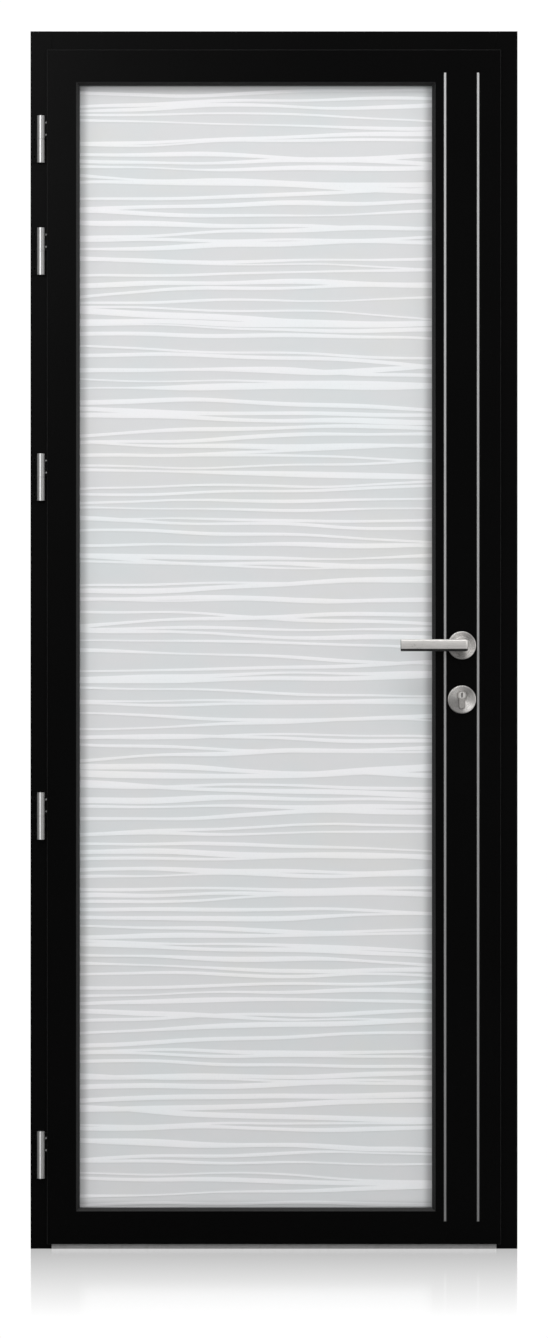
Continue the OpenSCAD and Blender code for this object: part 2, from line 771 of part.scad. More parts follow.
// Key cylinder: one body with a plug at each end and the cam between them
module at_key() translate([lever_x, 0, key_z]) children();
module cylinder_body() color("#b8b3a8") difference() {
    at_key() difference() {
        along_y(cylinder_in_y, cylinder_out_y) cylinder_outline(0);
        rod_y(plug_r + fit, cylinder_in_y - past, cylinder_out_y + past);
        rod_y(cam_r + slip, lock_y - cam_t / 2 - slip, lock_y + cam_t / 2 + slip);
    }
    cylinder_screw(screw_fit);
}
module plug(y0, y1, key_y) {
    key_w = 2.4;
    key_h = 9;
    key_d = 26;
    at_key() difference() {
        rod_y(plug_r, y0, y1);
        translate([-key_w / 2, key_y - key_d, -key_h / 2]) cube([key_w, 2 * key_d, key_h]);
    }
}
module plug_inside() color("#c9c5bb") plug(cylinder_in_y, lock_y - cam_t / 2, cylinder_in_y);
module plug_outside() color("#c9c5bb") plug(lock_y + cam_t / 2 + slip, cylinder_out_y, cylinder_out_y);
module lock_cam() color("#a08a50") at_key() {
    finger_w = 7;
    rod_y(plug_r + 1, lock_y - cam_t / 2, lock_y + cam_t / 2);
    difference() {
        translate([-finger_w / 2, lock_y - cam_t / 2, -cam_r]) cube([finger_w, cam_t, cam_r]);
        rod_y(plug_r, lock_y - cam_t, lock_y + cam_t);
        difference() {
            rod_y(cam_r + 2, lock_y - cam_t, lock_y + cam_t);
            rod_y(cam_r, lock_y - cam_t - past, lock_y + cam_t + past);
        }
    }
}

module leaf_screws() color("#a9abad") {
    at_flange_screws() screw(screw_r, flange_screw_len);
    at_grub_screws() cylinder(r = grub_r, h = lip_y - skin_y + grub_out - slip);
    at_plate_screws() screw(screw_r, plate_screw_len);
    cylinder_screw(0);
}

// ---- Handle ----

// One lever, with the leaf's face at y = 0 and the room in front of it towards -Y
module lever() {
    beyond = 10;
    round_r = 3;
    neck_r = hub_r;
    difference() {
        union() {
            rod_y(neck_r, -lever_out + lever_t / 2, 0);
            translate([-lever_len, -lever_out, -lever_h / 2]) rotate([90, 0, 90])
                linear_extrude(lever_len + beyond) rounded_square(lever_t, lever_h, round_r);
        }
        translate([-spindle_w / 2 - fit, -spindle_in, -spindle_w / 2 - fit])
            cube([spindle_w + 2 * fit, spindle_in + past, spindle_w + 2 * fit]);
    }
}
module rounded_square(w, h, r) {
    translate([r, 0]) square([w - 2 * r, h]);
    translate([0, r]) square([w, h - 2 * r]);
    for (x = [r, w - r], y = [r, h - r]) translate([x, y]) circle(r = r);
}
module inside_face(z) translate([lever_x, face_y, z]) children();
module outside_face(z) translate([lever_x, leaf_y, z]) mirror([0, 1, 0]) children();
module lever_inside() color("#b5b1a8") inside_face(lever_z) lever();
module lever_outside() color("#b5b1a8") outside_face(lever_z) lever();

module spindle() color("#8f9396")
    translate([lever_x - spindle_w / 2, face_y - spindle_in + slip, lever_z - spindle_w / 2])
        cube([spindle_w, leaf_t + 2 * (spindle_in - slip), spindle_w]);

// Hub that the spindle turns inside the main lock case, with the arm that works the latch
module lock_follower() color("#a08a50") translate([lever_x, 0, lever_z]) {
    inner = case_t / 2 - case_wall - slip;
    arm_w = 5;
    arm_t = 6;
    arm_len = 24;
    difference() {
        union() {
            rod_y(hub_r, lock_y - case_t / 2, lock_y + case_t / 2);
            rod_y(follower_r, lock_y - inner, lock_y + inner);
            translate([-arm_w / 2, lock_y - arm_t / 2, 0]) cube([arm_w, arm_t, arm_len]);
        }
        translate([-spindle_w / 2 - fit, face_y, -spindle_w / 2 - fit])
            cube([spindle_w + 2 * fit, leaf_t, spindle_w + 2 * fit]);
    }
}

// Round roses: the lever's has a raised ring, the key's is cut to the cylinder's profile
module rose_blank(bore) {
    edge = 1.5;
    rotate([90, 0, 0]) rotate_extrude()
        polygon([[bore, 0], [rose_r, 0], [rose_r, rose_t - edge], [rose_r - edge, rose_t],
            [bore, rose_t]]);
}
module lever_rose() {
    ring_r = 16;
    ring_t = 1.5;
    rose_blank(hub_r + fit);
    difference() {
        rod_y(ring_r, -rose_t - ring_t, -rose_t);
        rod_y(hub_r + fit, -rose_t - 2 * ring_t, 0);
    }
}
module rosettes() color("#b5b1a8") {
    inside_face(lever_z) lever_rose();
    outside_face(lever_z) lever_rose();
}
module key_rose() difference() {
    translate([0, 0, -rose_low]) rose_blank(0);
    along_y(-rose_t - past, past) cylinder_outline(screw_fit);
}
module escutcheons() color("#b5b1a8") {
    inside_face(key_z) key_rose();
    outside_face(key_z) key_rose();
}

jamb_hinge();
jamb_lock();
head();
frame_thermal_strips();
threshold();
frame_corner_blocks();
stop_gasket();
keep_centre();
keep_upper();
keep_lower();
frame_screws();
hinge_frame_wings();
hinge_pins();
hinge_sleeves_lower();
inner_skin();
outer_skin();
leaf_stile_hinge();
leaf_stile_lock();
leaf_rail_top();
leaf_rail_bottom();
leaf_thermal_strips();
leaf_corner_cleats();
foam_core();
inner_trim_top();
inner_trim_right();
inner_trim_bottom();
inner_trim_left();
outer_trims();
inner_pane();
outer_pane();
spacer_bar();
edge_seal();
setting_blocks();
glazing_gaskets();
lip_gasket();
bottom_seal_carrier();
bottom_brush();
drip_rail();
inlay_left();
inlay_right();
hinge_leaf_wings();
hinge_sleeves_upper();
lock_faceplate();
lock_cases();
latch_bolt();
dead_bolt();
upper_bolt();
lower_bolt();
cylinder_body();
plug_inside();
plug_outside();
lock_cam();
leaf_screws();
lever_inside();
lever_outside();
spindle();
lock_follower();
rosettes();
escutcheons();
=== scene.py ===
import json
import math

import bmesh
import bpy
from mathutils import Matrix, Vector


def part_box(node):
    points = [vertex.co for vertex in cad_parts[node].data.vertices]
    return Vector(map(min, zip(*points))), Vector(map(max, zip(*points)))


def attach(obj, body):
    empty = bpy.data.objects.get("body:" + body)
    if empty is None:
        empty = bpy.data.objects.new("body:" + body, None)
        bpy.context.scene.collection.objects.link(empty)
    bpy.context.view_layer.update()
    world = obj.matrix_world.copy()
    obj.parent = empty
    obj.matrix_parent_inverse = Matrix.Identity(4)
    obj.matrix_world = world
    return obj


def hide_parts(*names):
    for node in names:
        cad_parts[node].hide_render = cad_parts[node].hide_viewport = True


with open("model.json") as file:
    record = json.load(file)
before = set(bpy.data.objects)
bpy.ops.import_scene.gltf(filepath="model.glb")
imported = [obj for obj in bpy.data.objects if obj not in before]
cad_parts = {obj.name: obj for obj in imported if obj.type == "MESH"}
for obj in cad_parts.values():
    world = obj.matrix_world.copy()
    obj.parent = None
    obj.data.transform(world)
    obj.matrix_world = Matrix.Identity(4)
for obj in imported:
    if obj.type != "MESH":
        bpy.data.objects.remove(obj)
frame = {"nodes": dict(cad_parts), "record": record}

# A glazed entrance door: black powder coat, a milky rippled pane, satin nickel furniture.
# X runs to the lock side, -Y is the inside face, Z is up. Everything is in metres.
nodes = frame["nodes"]
scene = bpy.context.scene
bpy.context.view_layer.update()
mm = 0.001
print("frame loaded:", len(nodes), "nodes")


def newObject(name, data):
    added = bpy.data.objects.new(name, data)
    scene.collection.objects.link(added)
    return added


def middle(node):
    low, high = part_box(node)
    return (low + high) / 2


# Camera, light and floor

camera = {"lens": 200, "distance": 13.73, "height": 1.0714}


def placeCamera():
    data = bpy.data.cameras.new("camera")
    data.lens = camera["lens"]
    data.clip_end = 100
    eye = newObject("camera", data)
    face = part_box("inner_skin")[0].y
    eye.location = (0, face - camera["distance"], camera["height"])
    eye.rotation_euler = (math.radians(90), 0, 0)
    scene.camera = eye


lights = {
    # name: place, what it looks at, width, height, power
    "keyLight": ((0.6, -4.2, 6.4), (0, 0, 1.45), 5.0, 2.2, 180),
    "rightLight": ((5.6, -4.2, 1.9), (0, 0, 1.3), 6.0, 3.6, 78),
    "leftLight": ((-5.6, -4.2, 1.9), (0, 0, 1.3), 4.0, 3.6, 73),
    "backLight": ((1.5, 5.0, 4.4), (0, 0, 1.1), 4.0, 2.4, 120),
    "hubLight": ((-1.25, -4.6, 2.6), (0.35, 0, 1.08), 0.5, 0.5, 20),
}


def placeLights():
    for name, (place, target, width, height, power) in lights.items():
        data = bpy.data.lights.new(name, "AREA")
        data.shape = "RECTANGLE"
        data.size = width
        data.size_y = height
        data.energy = power
        lamp = newObject(name, data)
        lamp.location = place
        lamp.rotation_euler = (Vector(target) - Vector(place)).to_track_quat("-Z", "Y").to_euler()


room = {"upGlow": 0.55, "rightGlow": 0.45, "leftGlow": 0.08, "base": 0.022, "behindGlow": 1.0,
        "frontGlow": 0.42, "frontLow": -0.09, "frontHigh": 0.07, "cove": 1.05}


def addNode(tree, kind, values=None, **settings):
    node = tree.nodes.new(kind)
    for name, value in settings.items():
        setattr(node, name, value)
    for key, value in (values or {}).items():
        if isinstance(value, bpy.types.NodeSocket):
            tree.links.new(value, node.inputs[key])
        else:
            node.inputs[key].default_value = value
    return node


def nodeOut(tree, kind, values=None, **settings):
    return addNode(tree, kind, values, **settings).outputs[0]


def maths(tree, operation, a, b=0.0):
    return nodeOut(tree, "ShaderNodeMath", {0: a, 1: b}, operation=operation)


def mixColor(tree, factor, a, b):
    return addNode(tree, "ShaderNodeMix", {0: factor, 6: a, 7: b}, data_type="RGBA").outputs[2]


def mapRange(tree, value, low, high, toLow, toHigh, smooth=False):
    return nodeOut(tree, "ShaderNodeMapRange", {"Value": value, "From Min": low, "From Max": high,
                                                "To Min": toLow, "To Max": toHigh},
                   interpolation_type="SMOOTHSTEP" if smooth else "LINEAR")


def parted(tree, vector):
    return addNode(tree, "ShaderNodeSeparateXYZ", {0: vector}).outputs


def joined(tree, x=0.0, y=0.0, z=0.0):
    return nodeOut(tree, "ShaderNodeCombineXYZ", {0: x, 1: y, 2: z})


def stretched(tree, vector, scale=(1, 1, 1), shift=(0, 0, 0)):
    return nodeOut(tree, "ShaderNodeMapping", {"Vector": vector, "Location": shift, "Scale": scale})


def darkened(tree, color, share):
    # The colour times a share that changes over the surface
    return addNode(tree, "ShaderNodeMix", {0: 1.0, 6: color, 7: joined(tree, share, share, share)},
                   data_type="RGBA", blend_type="MULTIPLY").outputs[2]


def bumped(tree, height, strength, distance):
    return nodeOut(tree, "ShaderNodeBump", {"Strength": strength, "Distance": distance, "Height": height})


def feed(tree, target, sockets):
    for key, value in sockets.items():
        tree.links.new(value, target.inputs[key])


def buildRoom():
    # A white cove for the eye. What the pieces reflect is brighter above and to the right.
    world = bpy.data.worlds.new("room")
    scene.world = world
    world.use_nodes = True
    tree = world.node_tree
    tree.nodes.clear()
    way = parted(tree, addNode(tree, "ShaderNodeTexCoord").outputs["Generated"])
    up = maths(tree, "MULTIPLY", maths(tree, "POWER", maths(tree, "MAXIMUM", way[2], 0.0), 1.6),
               room["upGlow"])
    right = maths(tree, "MULTIPLY", maths(tree, "POWER", maths(tree, "MAXIMUM", way[0], 0.0), 2.5),
                  room["rightGlow"])
    leftWay = maths(tree, "MAXIMUM", maths(tree, "MULTIPLY", way[0], -1.0), 0.0)
    left = maths(tree, "MULTIPLY", maths(tree, "POWER", leftWay, 2.5), room["leftGlow"])
    behind = mapRange(tree, way[1], 0.25, 0.7, 0.0, room["behindGlow"])
    total = maths(tree, "ADD", maths(tree, "ADD", up, right), maths(tree, "ADD", left, behind))
    # In front it is dim low down and brighter above eye level, which shades the flat faces
    rise = mapRange(tree, way[2], room["frontLow"], room["frontHigh"], 0.0, room["frontGlow"], smooth=True)
    total = maths(tree, "ADD", total, maths(tree, "ADD", rise, room["base"]))
    glow = addNode(tree, "ShaderNodeBackground", {"Color": (1, 1, 1, 1), "Strength": total})
    cove = addNode(tree, "ShaderNodeBackground", {"Color": (1, 1, 1, 1), "Strength": room["cove"]})
    seen = addNode(tree, "ShaderNodeLightPath").outputs["Is Camera Ray"]
    both = addNode(tree, "ShaderNodeMixShader", {0: seen, 1: glow.outputs[0], 2: cove.outputs[0]})
    addNode(tree, "ShaderNodeOutputWorld", {"Surface": both.outputs[0]})


floor = {"half": 30.0, "polish": 0.53, "fade": 1.55, "sideFrom": 0.6, "sideTo": 1.5, "roughness": 0.09,
         "glow": 1.03, "diffuse": 0.24}


def buildFloor():
    # Pale and a little polished close to the door, so that its foot is mirrored there
    mesh = bpy.data.meshes.new("floor")
    half = floor["half"]
    mesh.from_pydata([(-half, -half, 0), (half, -half, 0), (half, half, 0), (-half, half, 0)], [],
                     [(0, 1, 2, 3)])
    plane = newObject("floor", mesh)
    material = bpy.data.materials.new("polishedFloor")
    material.use_nodes = True
    tree = material.node_tree
    tree.nodes.clear()
    place = parted(tree, addNode(tree, "ShaderNodeTexCoord").outputs["Object"])
    shine = mapRange(tree, maths(tree, "ABSOLUTE", place[1]), 0.0, floor["fade"], floor["polish"], 0.0)
    beside = mapRange(tree, maths(tree, "ABSOLUTE", place[0]), floor["sideFrom"], floor["sideTo"], 1.0, 0.0)
    shine = maths(tree, "MULTIPLY", shine, beside)
    pale = addNode(tree, "ShaderNodeEmission", {"Color": (1, 1, 1, 1), "Strength": floor["glow"]})
    mirror = addNode(tree, "ShaderNodeBsdfGlossy",
                     {"Color": (1, 1, 1, 1), "Roughness": floor["roughness"]})
    seenFloor = addNode(tree, "ShaderNodeMixShader",
                        {0: shine, 1: pale.outputs[0], 2: mirror.outputs[0]})
    dull = addNode(tree, "ShaderNodeBsdfDiffuse", {"Color": (floor["diffuse"],) * 3 + (1,)})
    seen = addNode(tree, "ShaderNodeLightPath").outputs["Is Camera Ray"]
    both = addNode(tree, "ShaderNodeMixShader",
                   {0: seen, 1: dull.outputs[0], 2: seenFloor.outputs[0]})
    addNode(tree, "ShaderNodeOutputMaterial", {"Surface": both.outputs[0]})
    mesh.materials.append(material)


scene.view_settings.view_transform = "Standard"
placeCamera()
placeLights()
buildRoom()
buildFloor()
print("camera, lights and floor placed")


# Finishes


def socketType(value):
    # A socket is given by its starting value, or by the name of its kind
    if isinstance(value, str):
        return "NodeSocket" + value
    if isinstance(value, tuple):
        return "NodeSocketColor" if len(value) == 4 else "NodeSocketVector"
    return "NodeSocketInt" if isinstance(value, int) else "NodeSocketFloat"


def newGroup(name, kind, inputs, outputs):
    tree = bpy.data.node_groups.new(name, kind)
    for label, value in inputs.items():
        socket = tree.interface.new_socket(label, in_out="INPUT", socket_type=socketType(value))
        if not isinstance(value, str):
            socket.default_value = value
    for label in outputs:
        tree.interface.new_socket(label, in_out="OUTPUT", socket_type=socketType(outputs[label]))
    return tree, addNode(tree, "NodeGroupInput").outputs, addNode(tree, "NodeGroupOutput")


def noise(tree, vector, scale, detail=2.0, roughness=0.5):
    return nodeOut(tree, "ShaderNodeTexNoise", {"Vector": vector, "Scale": scale, "Detail": detail,
                                                "Roughness": roughness})


finishOutputs = {"Color": "Color", "Roughness": "Float", "Normal": "Vector"}


def buildPowderGroup():
    # Fine pimpled powder coat, with faint clouds in tone and gloss
    tree, put, end = newGroup("powderCoat", "ShaderNodeTree", {
        "Vector": "Vector", "Tone": (0.01, 0.01, 0.01, 1), "Cloud Tone": (0.02, 0.02, 0.02, 1),
        "Grain Scale": 1400.0, "Depth": 0.12, "Roughness": 0.4}, finishOutputs)
    grain = noise(tree, put["Vector"], put["Grain Scale"], 3.0)
    clouds = noise(tree, put["Vector"], 3.0, 4.0, 0.6)
    cloudMask = mapRange(tree, clouds, 0.35, 0.7, 0.0, 1.0)
    color = mixColor(tree, cloudMask, put["Tone"], put["Cloud Tone"])
    gloss = maths(tree, "ADD", put["Roughness"], mapRange(tree, grain, 0.3, 0.7, -0.06, 0.06))
    feed(tree, end, {"Color": color, "Roughness": gloss,
                     "Normal": bumped(tree, grain, put["Depth"], 0.0002)})
    return tree


def buildBrushedGroup():
    # Brushed metal: Stretch is small along the brushing, so that the streaks run long there
    tree, put, end = newGroup("brushedMetal", "ShaderNodeTree", {
        "Vector": "Vector", "Stretch": (1, 1, 1), "Tone": (0.5, 0.5, 0.5, 1),
        "Streak Tone": (0.6, 0.6, 0.6, 1), "Scale": 2200.0, "Depth": 0.15, "Roughness": 0.35},
        finishOutputs)
    along = nodeOut(tree, "ShaderNodeVectorMath", {0: put["Vector"], 1: put["Stretch"]},
                    operation="MULTIPLY")
    streaks = noise(tree, along, put["Scale"], 3.0, 0.65)
    smears = noise(tree, put["Vector"], 45.0, 3.0, 0.6)
    mask = mapRange(tree, streaks, 0.3, 0.7, 0.0, 1.0)
    color = mixColor(tree, mask, put["Tone"], put["Streak Tone"])
    gloss = maths(tree, "ADD", put["Roughness"], mapRange(tree, streaks, 0.3, 0.7, -0.08, 0.08))
    gloss = maths(tree, "ADD", gloss, mapRange(tree, smears, 0.35, 0.7, -0.04, 0.06))
    feed(tree, end, {"Color": color, "Roughness": gloss,
                     "Normal": bumped(tree, streaks, put["Depth"], 0.0001)})
    return tree


powderGroup = buildPowderGroup()
brushedGroup = buildBrushedGroup()


def newMaterial(name, sockets):
    material = bpy.data.materials.new(name)
    material.use_nodes = True
    tree = material.node_tree
    shader = tree.nodes["Principled BSDF"]
    for key, value in sockets.items():
        shader.inputs[key].default_value = value
    place = addNode(tree, "ShaderNodeTexCoord").outputs["Object"]
    return material, tree, shader, place


def grey(tone, warm=0.0):
    return (tone * (1 + warm), tone, tone * (1 - warm), 1)


def useGroup(tree, shader, group, values):
    # Feeds the shader from a finish group, and gives back the bare colour for painting over
    finish = addNode(tree, "ShaderNodeGroup", values, node_tree=group).outputs
    feed(tree, shader, {"Base Color": finish["Color"], "Roughness": finish["Roughness"],
                        "Normal": finish["Normal"]})
    return finish["Color"]


def powderMaterial(name, tone, cloud, roughness, specular, grain=1400.0, depth=0.12, rimHighlightTone=None):
    # Black powder coat. Where the rim highlight tone is given, the faces that the rim attribute marks,
    # the rounded edges, get a painted highlight in that tone.
    material, tree, shader, place = newMaterial(name, {"Specular IOR Level": specular})
    bare = useGroup(tree, shader, powderGroup, {"Vector": place, "Tone": tone, "Cloud Tone": cloud,
                                                "Grain Scale": grain, "Depth": depth,
                                                "Roughness": roughness})
    if rimHighlightTone:
        rim = addNode(tree, "ShaderNodeAttribute", attribute_name="rim").outputs["Fac"]
        feed(tree, shader, {"Base Color": mixColor(tree, rim, bare, rimHighlightTone)})
    return material


def brushedMaterial(name, tone, streak, stretch, roughness, metallic, depth=0.15, scale=2200.0):
    material, tree, shader, place = newMaterial(name, {"Metallic": metallic})
    useGroup(tree, shader, brushedGroup, {"Vector": place, "Stretch": stretch, "Tone": tone,
                                          "Streak Tone": streak, "Scale": scale, "Depth": depth,
                                          "Roughness": roughness})
    return material


def screwMaterial(name, edge, darkTone):
    # Plated screws, but left of the edge, in the hinge wings, they are painted in the dark tone
    material, tree, shader, place = newMaterial(name, {"Specular IOR Level": 0.12})
    plated = maths(tree, "GREATER_THAN", parted(tree, place)[0], edge)
    grain = noise(tree, place, 1800.0, 3.0)
    steelTone = mixColor(tree, grain, grey(0.42), grey(0.58))
    feed(tree, shader, {"Base Color": mixColor(tree, plated, darkTone, steelTone),
                        "Metallic": maths(tree, "MULTIPLY", plated, 0.85),
                        "Roughness": mapRange(tree, grain, 0.3, 0.7, 0.36, 0.5)})
    return material


sheen = {
    # painted wedges of light on turned metal: which way round in degrees, how narrow, how strong
    "wedges": [(-42, 7.0, 1.0), (122, 3.0, 0.6), (10, 9.0, 0.25)], "dull": 0.47, "gain": 1.1,
    "ringScale": 5200.0, "ringDepth": 0.5,
}


def turnedMaterial(name, tone, streak, roughness, metallic, centre):
    # Metal finished on a lathe: fine rings run round an axis along Y, and wedges of light are painted on
    material, tree, shader, place = newMaterial(name, {"Metallic": metallic})
    parts = parted(tree, stretched(tree, place, shift=(-centre.x, 0, -centre.z)))
    across = joined(tree, parts[0], 0.0, parts[2])
    radius = addNode(tree, "ShaderNodeVectorMath", {0: across}, operation="LENGTH").outputs["Value"]
    rings = joined(tree, radius, parts[1], maths(tree, "MULTIPLY", parts[0], 0.03))
    bare = useGroup(tree, shader, brushedGroup, {
        "Vector": rings, "Stretch": (1, 1, 1), "Tone": tone, "Streak Tone": streak,
        "Scale": sheen["ringScale"], "Depth": sheen["ringDepth"], "Roughness": roughness})
    total = sheen["dull"]
    for degrees, narrow, strength in sheen["wedges"]:
        angle = math.radians(degrees)
        along = maths(tree, "ADD", maths(tree, "MULTIPLY", parts[0], math.cos(angle)),
                      maths(tree, "MULTIPLY", parts[2], math.sin(angle)))
        facing = maths(tree, "MAXIMUM", maths(tree, "DIVIDE", along, radius), 0.0)
        wedge = maths(tree, "MULTIPLY", maths(tree, "POWER", facing, narrow), strength * sheen["gain"])
        total = maths(tree, "ADD", total, wedge)
    feed(tree, shader, {"Base Color": darkened(tree, bare, total)})
    return material


def rubberMaterial():
    material, tree, shader, place = newMaterial("sealRubber", {"Specular IOR Level": 0.3})
    dust = noise(tree, place, 60.0, 5.0, 0.7)
    mask = mapRange(tree, dust, 0.45, 0.75, 0.0, 1.0)
    feed(tree, shader, {"Base Color": mixColor(tree, mask, grey(0.008), grey(0.022)),
                        "Roughness": mapRange(tree, dust, 0.3, 0.7, 0.55, 0.75)})
    return material


def foamMaterial():
    material, tree, shader, place = newMaterial("rigidFoam", {"Roughness": 0.9})
    cells = addNode(tree, "ShaderNodeTexVoronoi", {"Vector": place, "Scale": 700.0}).outputs["Distance"]
    feed(tree, shader, {"Base Color": mixColor(tree, cells, (0.62, 0.55, 0.36, 1), (0.78, 0.72, 0.52, 1)),
                        "Normal": bumped(tree, cells, 0.5, 0.0005)})
    return material


def sillMaterial():
    # Plain extruded aluminium: long die lines, and scuffs where feet cross it
    material, tree, shader, place = newMaterial("sillAluminium", {"Metallic": 0.55})
    lines = noise(tree, stretched(tree, place, (0.01, 1, 1)), 1500.0, 2.0)
    scuffs = noise(tree, place, 90.0, 6.0, 0.7)
    mask = mapRange(tree, scuffs, 0.5, 0.7, 0.0, 0.7)
    feed(tree, shader, {"Base Color": mixColor(tree, mask, grey(0.46), grey(0.34, 0.03)),
                        "Roughness": mapRange(tree, scuffs, 0.3, 0.7, 0.34, 0.52),
                        "Normal": bumped(tree, lines, 0.25, 0.0001)})
    return material


glassTone = {"ground": (0.705, 0.71, 0.72), "ribbon": (0.885, 0.885, 0.90), "cool": (0.965, 1.0, 1.0),
             "warm": (1.0, 0.995, 0.96)}
edgeShade = {"lip": 0.009, "side": 0.68, "sideWide": 0.017, "foot": 0.72, "footWide": 0.012}


def edgeShaded(tree, place, color):
    # Painted shade: the pane lies in a recess, and is darker along its sides and its foot
    gasketLow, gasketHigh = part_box("glazing_gaskets")
    parts = parted(tree, place)
    fromLeft = maths(tree, "SUBTRACT", parts[0], gasketLow.x + edgeShade["lip"])
    fromRight = maths(tree, "SUBTRACT", gasketHigh.x - edgeShade["lip"], parts[0])
    fromFoot = maths(tree, "SUBTRACT", parts[2], gasketLow.z + edgeShade["lip"])
    side = mapRange(tree, maths(tree, "MINIMUM", fromLeft, fromRight), 0.0, edgeShade["sideWide"],
                    edgeShade["side"], 1.0, smooth=True)
    foot = mapRange(tree, fromFoot, 0.0, edgeShade["footWide"], edgeShade["foot"], 1.0, smooth=True)
    return darkened(tree, color, maths(tree, "MULTIPLY", side, foot))


def milkyMaterial(name, tone, roughness, coat):
    # Milky glass: broad faint patches of cooler and warmer tint, and a clear glossy skin
    material, tree, shader, place = newMaterial(name, {"Coat Roughness": 0.06, "IOR": 1.5,
                                                       "Coat Weight": coat,
                                                       "Specular IOR Level": 0.25})
    patches = noise(tree, stretched(tree, place, (1.6, 1, 2.6)), 2.2, 3.0, 0.55)
    warmPatches = noise(tree, stretched(tree, place, (1.6, 1, 2.6), (5.0, 0, 3.0)), 2.0, 3.0, 0.55)
    cool = tuple(t * c for t, c in zip(tone, glassTone["cool"])) + (1,)
    warm = tuple(t * c for t, c in zip(tone, glassTone["warm"])) + (1,)
    color = mixColor(tree, mapRange(tree, patches, 0.45, 0.65, 0.0, 1.0), tone + (1,), cool)
    color = mixColor(tree, mapRange(tree, warmPatches, 0.52, 0.7, 0.0, 0.8), color, warm)
    fine = noise(tree, place, 240.0, 3.0, 0.6)
    feed(tree, shader, {"Base Color": edgeShaded(tree, place, color),
                        "Roughness": mapRange(tree, fine, 0.3, 0.7, roughness - 0.05, roughness + 0.05)})
    return material


def clearMaterial():
    material, tree, shader, place = newMaterial("clearPane", {"Alpha": 0.22, "IOR": 1.5,
                                                              "Specular IOR Level": 0.8})
    smears = noise(tree, place, 6.0, 4.0, 0.6)
    feed(tree, shader, {"Base Color": mixColor(tree, smears, (0.62, 0.72, 0.69, 1), (0.70, 0.78, 0.76, 1)),
                        "Roughness": mapRange(tree, smears, 0.35, 0.7, 0.03, 0.09)})
    return material


# bright and fade set the width of the painted highlight line; the left tone is painted shade
sleeve = {"shift": -0.0008, "bright": 0.0005, "fade": 0.0019, "dull": 0.26, "leftShadeTone": 0.13}


def sleeveMaterial():
    # Round sleeves with a painted highlight line down the front, and painted shade on the left of it
    material, tree, shader, place = newMaterial("sleeveSteel", {"Metallic": 0.55})
    axis = middle("hinge_pins").x
    off = maths(tree, "SUBTRACT", parted(tree, place)[0], axis + sleeve["shift"])
    # painted highlight line down the front of the sleeve
    line = mapRange(tree, maths(tree, "ABSOLUTE", off), sleeve["bright"], sleeve["fade"], 1.0, 0.0)
    # painted shade on the left of the line
    shadeOnLeft = mapRange(tree, off, -0.004, -0.001, 1.0, 0.0)
    streaks = noise(tree, stretched(tree, place, (1, 1, 0.01)), 2600.0, 2.0)
    dull = mixColor(tree, shadeOnLeft, grey(sleeve["dull"], 0.01), grey(sleeve["leftShadeTone"], 0.01))
    dull = mixColor(tree, maths(tree, "MULTIPLY", streaks, 0.25), dull, grey(0.5))
    feed(tree, shader, {"Base Color": mixColor(tree, line, dull, grey(0.98)),
                        "Roughness": mapRange(tree, streaks, 0.3, 0.7, 0.34, 0.42)})
    return material


# widths of the painted highlight core and shaded edges, and the painted reflection tones at top and foot
inlay = {"core": 0.0009, "edge": 0.0024, "edgeShadeTone": 0.05, "topReflectionTone": 0.80, "footReflectionTone": 0.30}


def inlayMaterial():
    # Brushed strips with a painted highlight down the soft core between painted shade on the edges,
    # and a painted reflection, brighter at the top and darker low down
    material, tree, shader, place = newMaterial("inlaySteel", {"Metallic": 0.75})
    parts = parted(tree, place)
    offs = [maths(tree, "ABSOLUTE", maths(tree, "SUBTRACT", parts[0], middle(node).x))
            for node in ("inlay_left", "inlay_right")]
    core = mapRange(tree, maths(tree, "MINIMUM", offs[0], offs[1]), inlay["core"], inlay["edge"], 1.0, 0.0,
                    smooth=True)
    low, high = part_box("inlay_left")
    rise = mapRange(tree, parts[2], low.z, high.z, 0.0, 1.0)
    # painted reflection: brighter at the top, darker low down
    tone = mixColor(tree, rise, grey(inlay["footReflectionTone"]), grey(inlay["topReflectionTone"]))
    streaks = noise(tree, stretched(tree, place, (1, 1, 0.01)), 2200.0, 3.0, 0.65)
    streaked = mixColor(tree, maths(tree, "MULTIPLY", streaks, 0.2), tone, grey(0.6))
    # painted highlight in the core, painted shade on the edges
    feed(tree, shader, {"Base Color": mixColor(tree, core, grey(inlay["edgeShadeTone"]), streaked),
                        "Roughness": mapRange(tree, streaks, 0.3, 0.7, 0.26, 0.36)})
    return material


def leverMaterial():
    # Satin nickel brushed along the grip, with painted shade where the shade attribute marks the underside
    # and free end
    material, tree, shader, place = newMaterial("leverNickel", {"Metallic": 0.5})
    bare = useGroup(tree, shader, brushedGroup, {
        "Vector": place, "Stretch": (0.03, 1, 1), "Tone": grey(0.56, 0.03), "Streak Tone": grey(0.67, 0.03),
        "Scale": 2200.0, "Depth": 0.15, "Roughness": 0.36})
    shade = addNode(tree, "ShaderNodeAttribute", attribute_name="shade").outputs["Fac"]
    feed(tree, shader, {"Base Color": mixColor(tree, shade, bare, grey(0.035))})
    return material


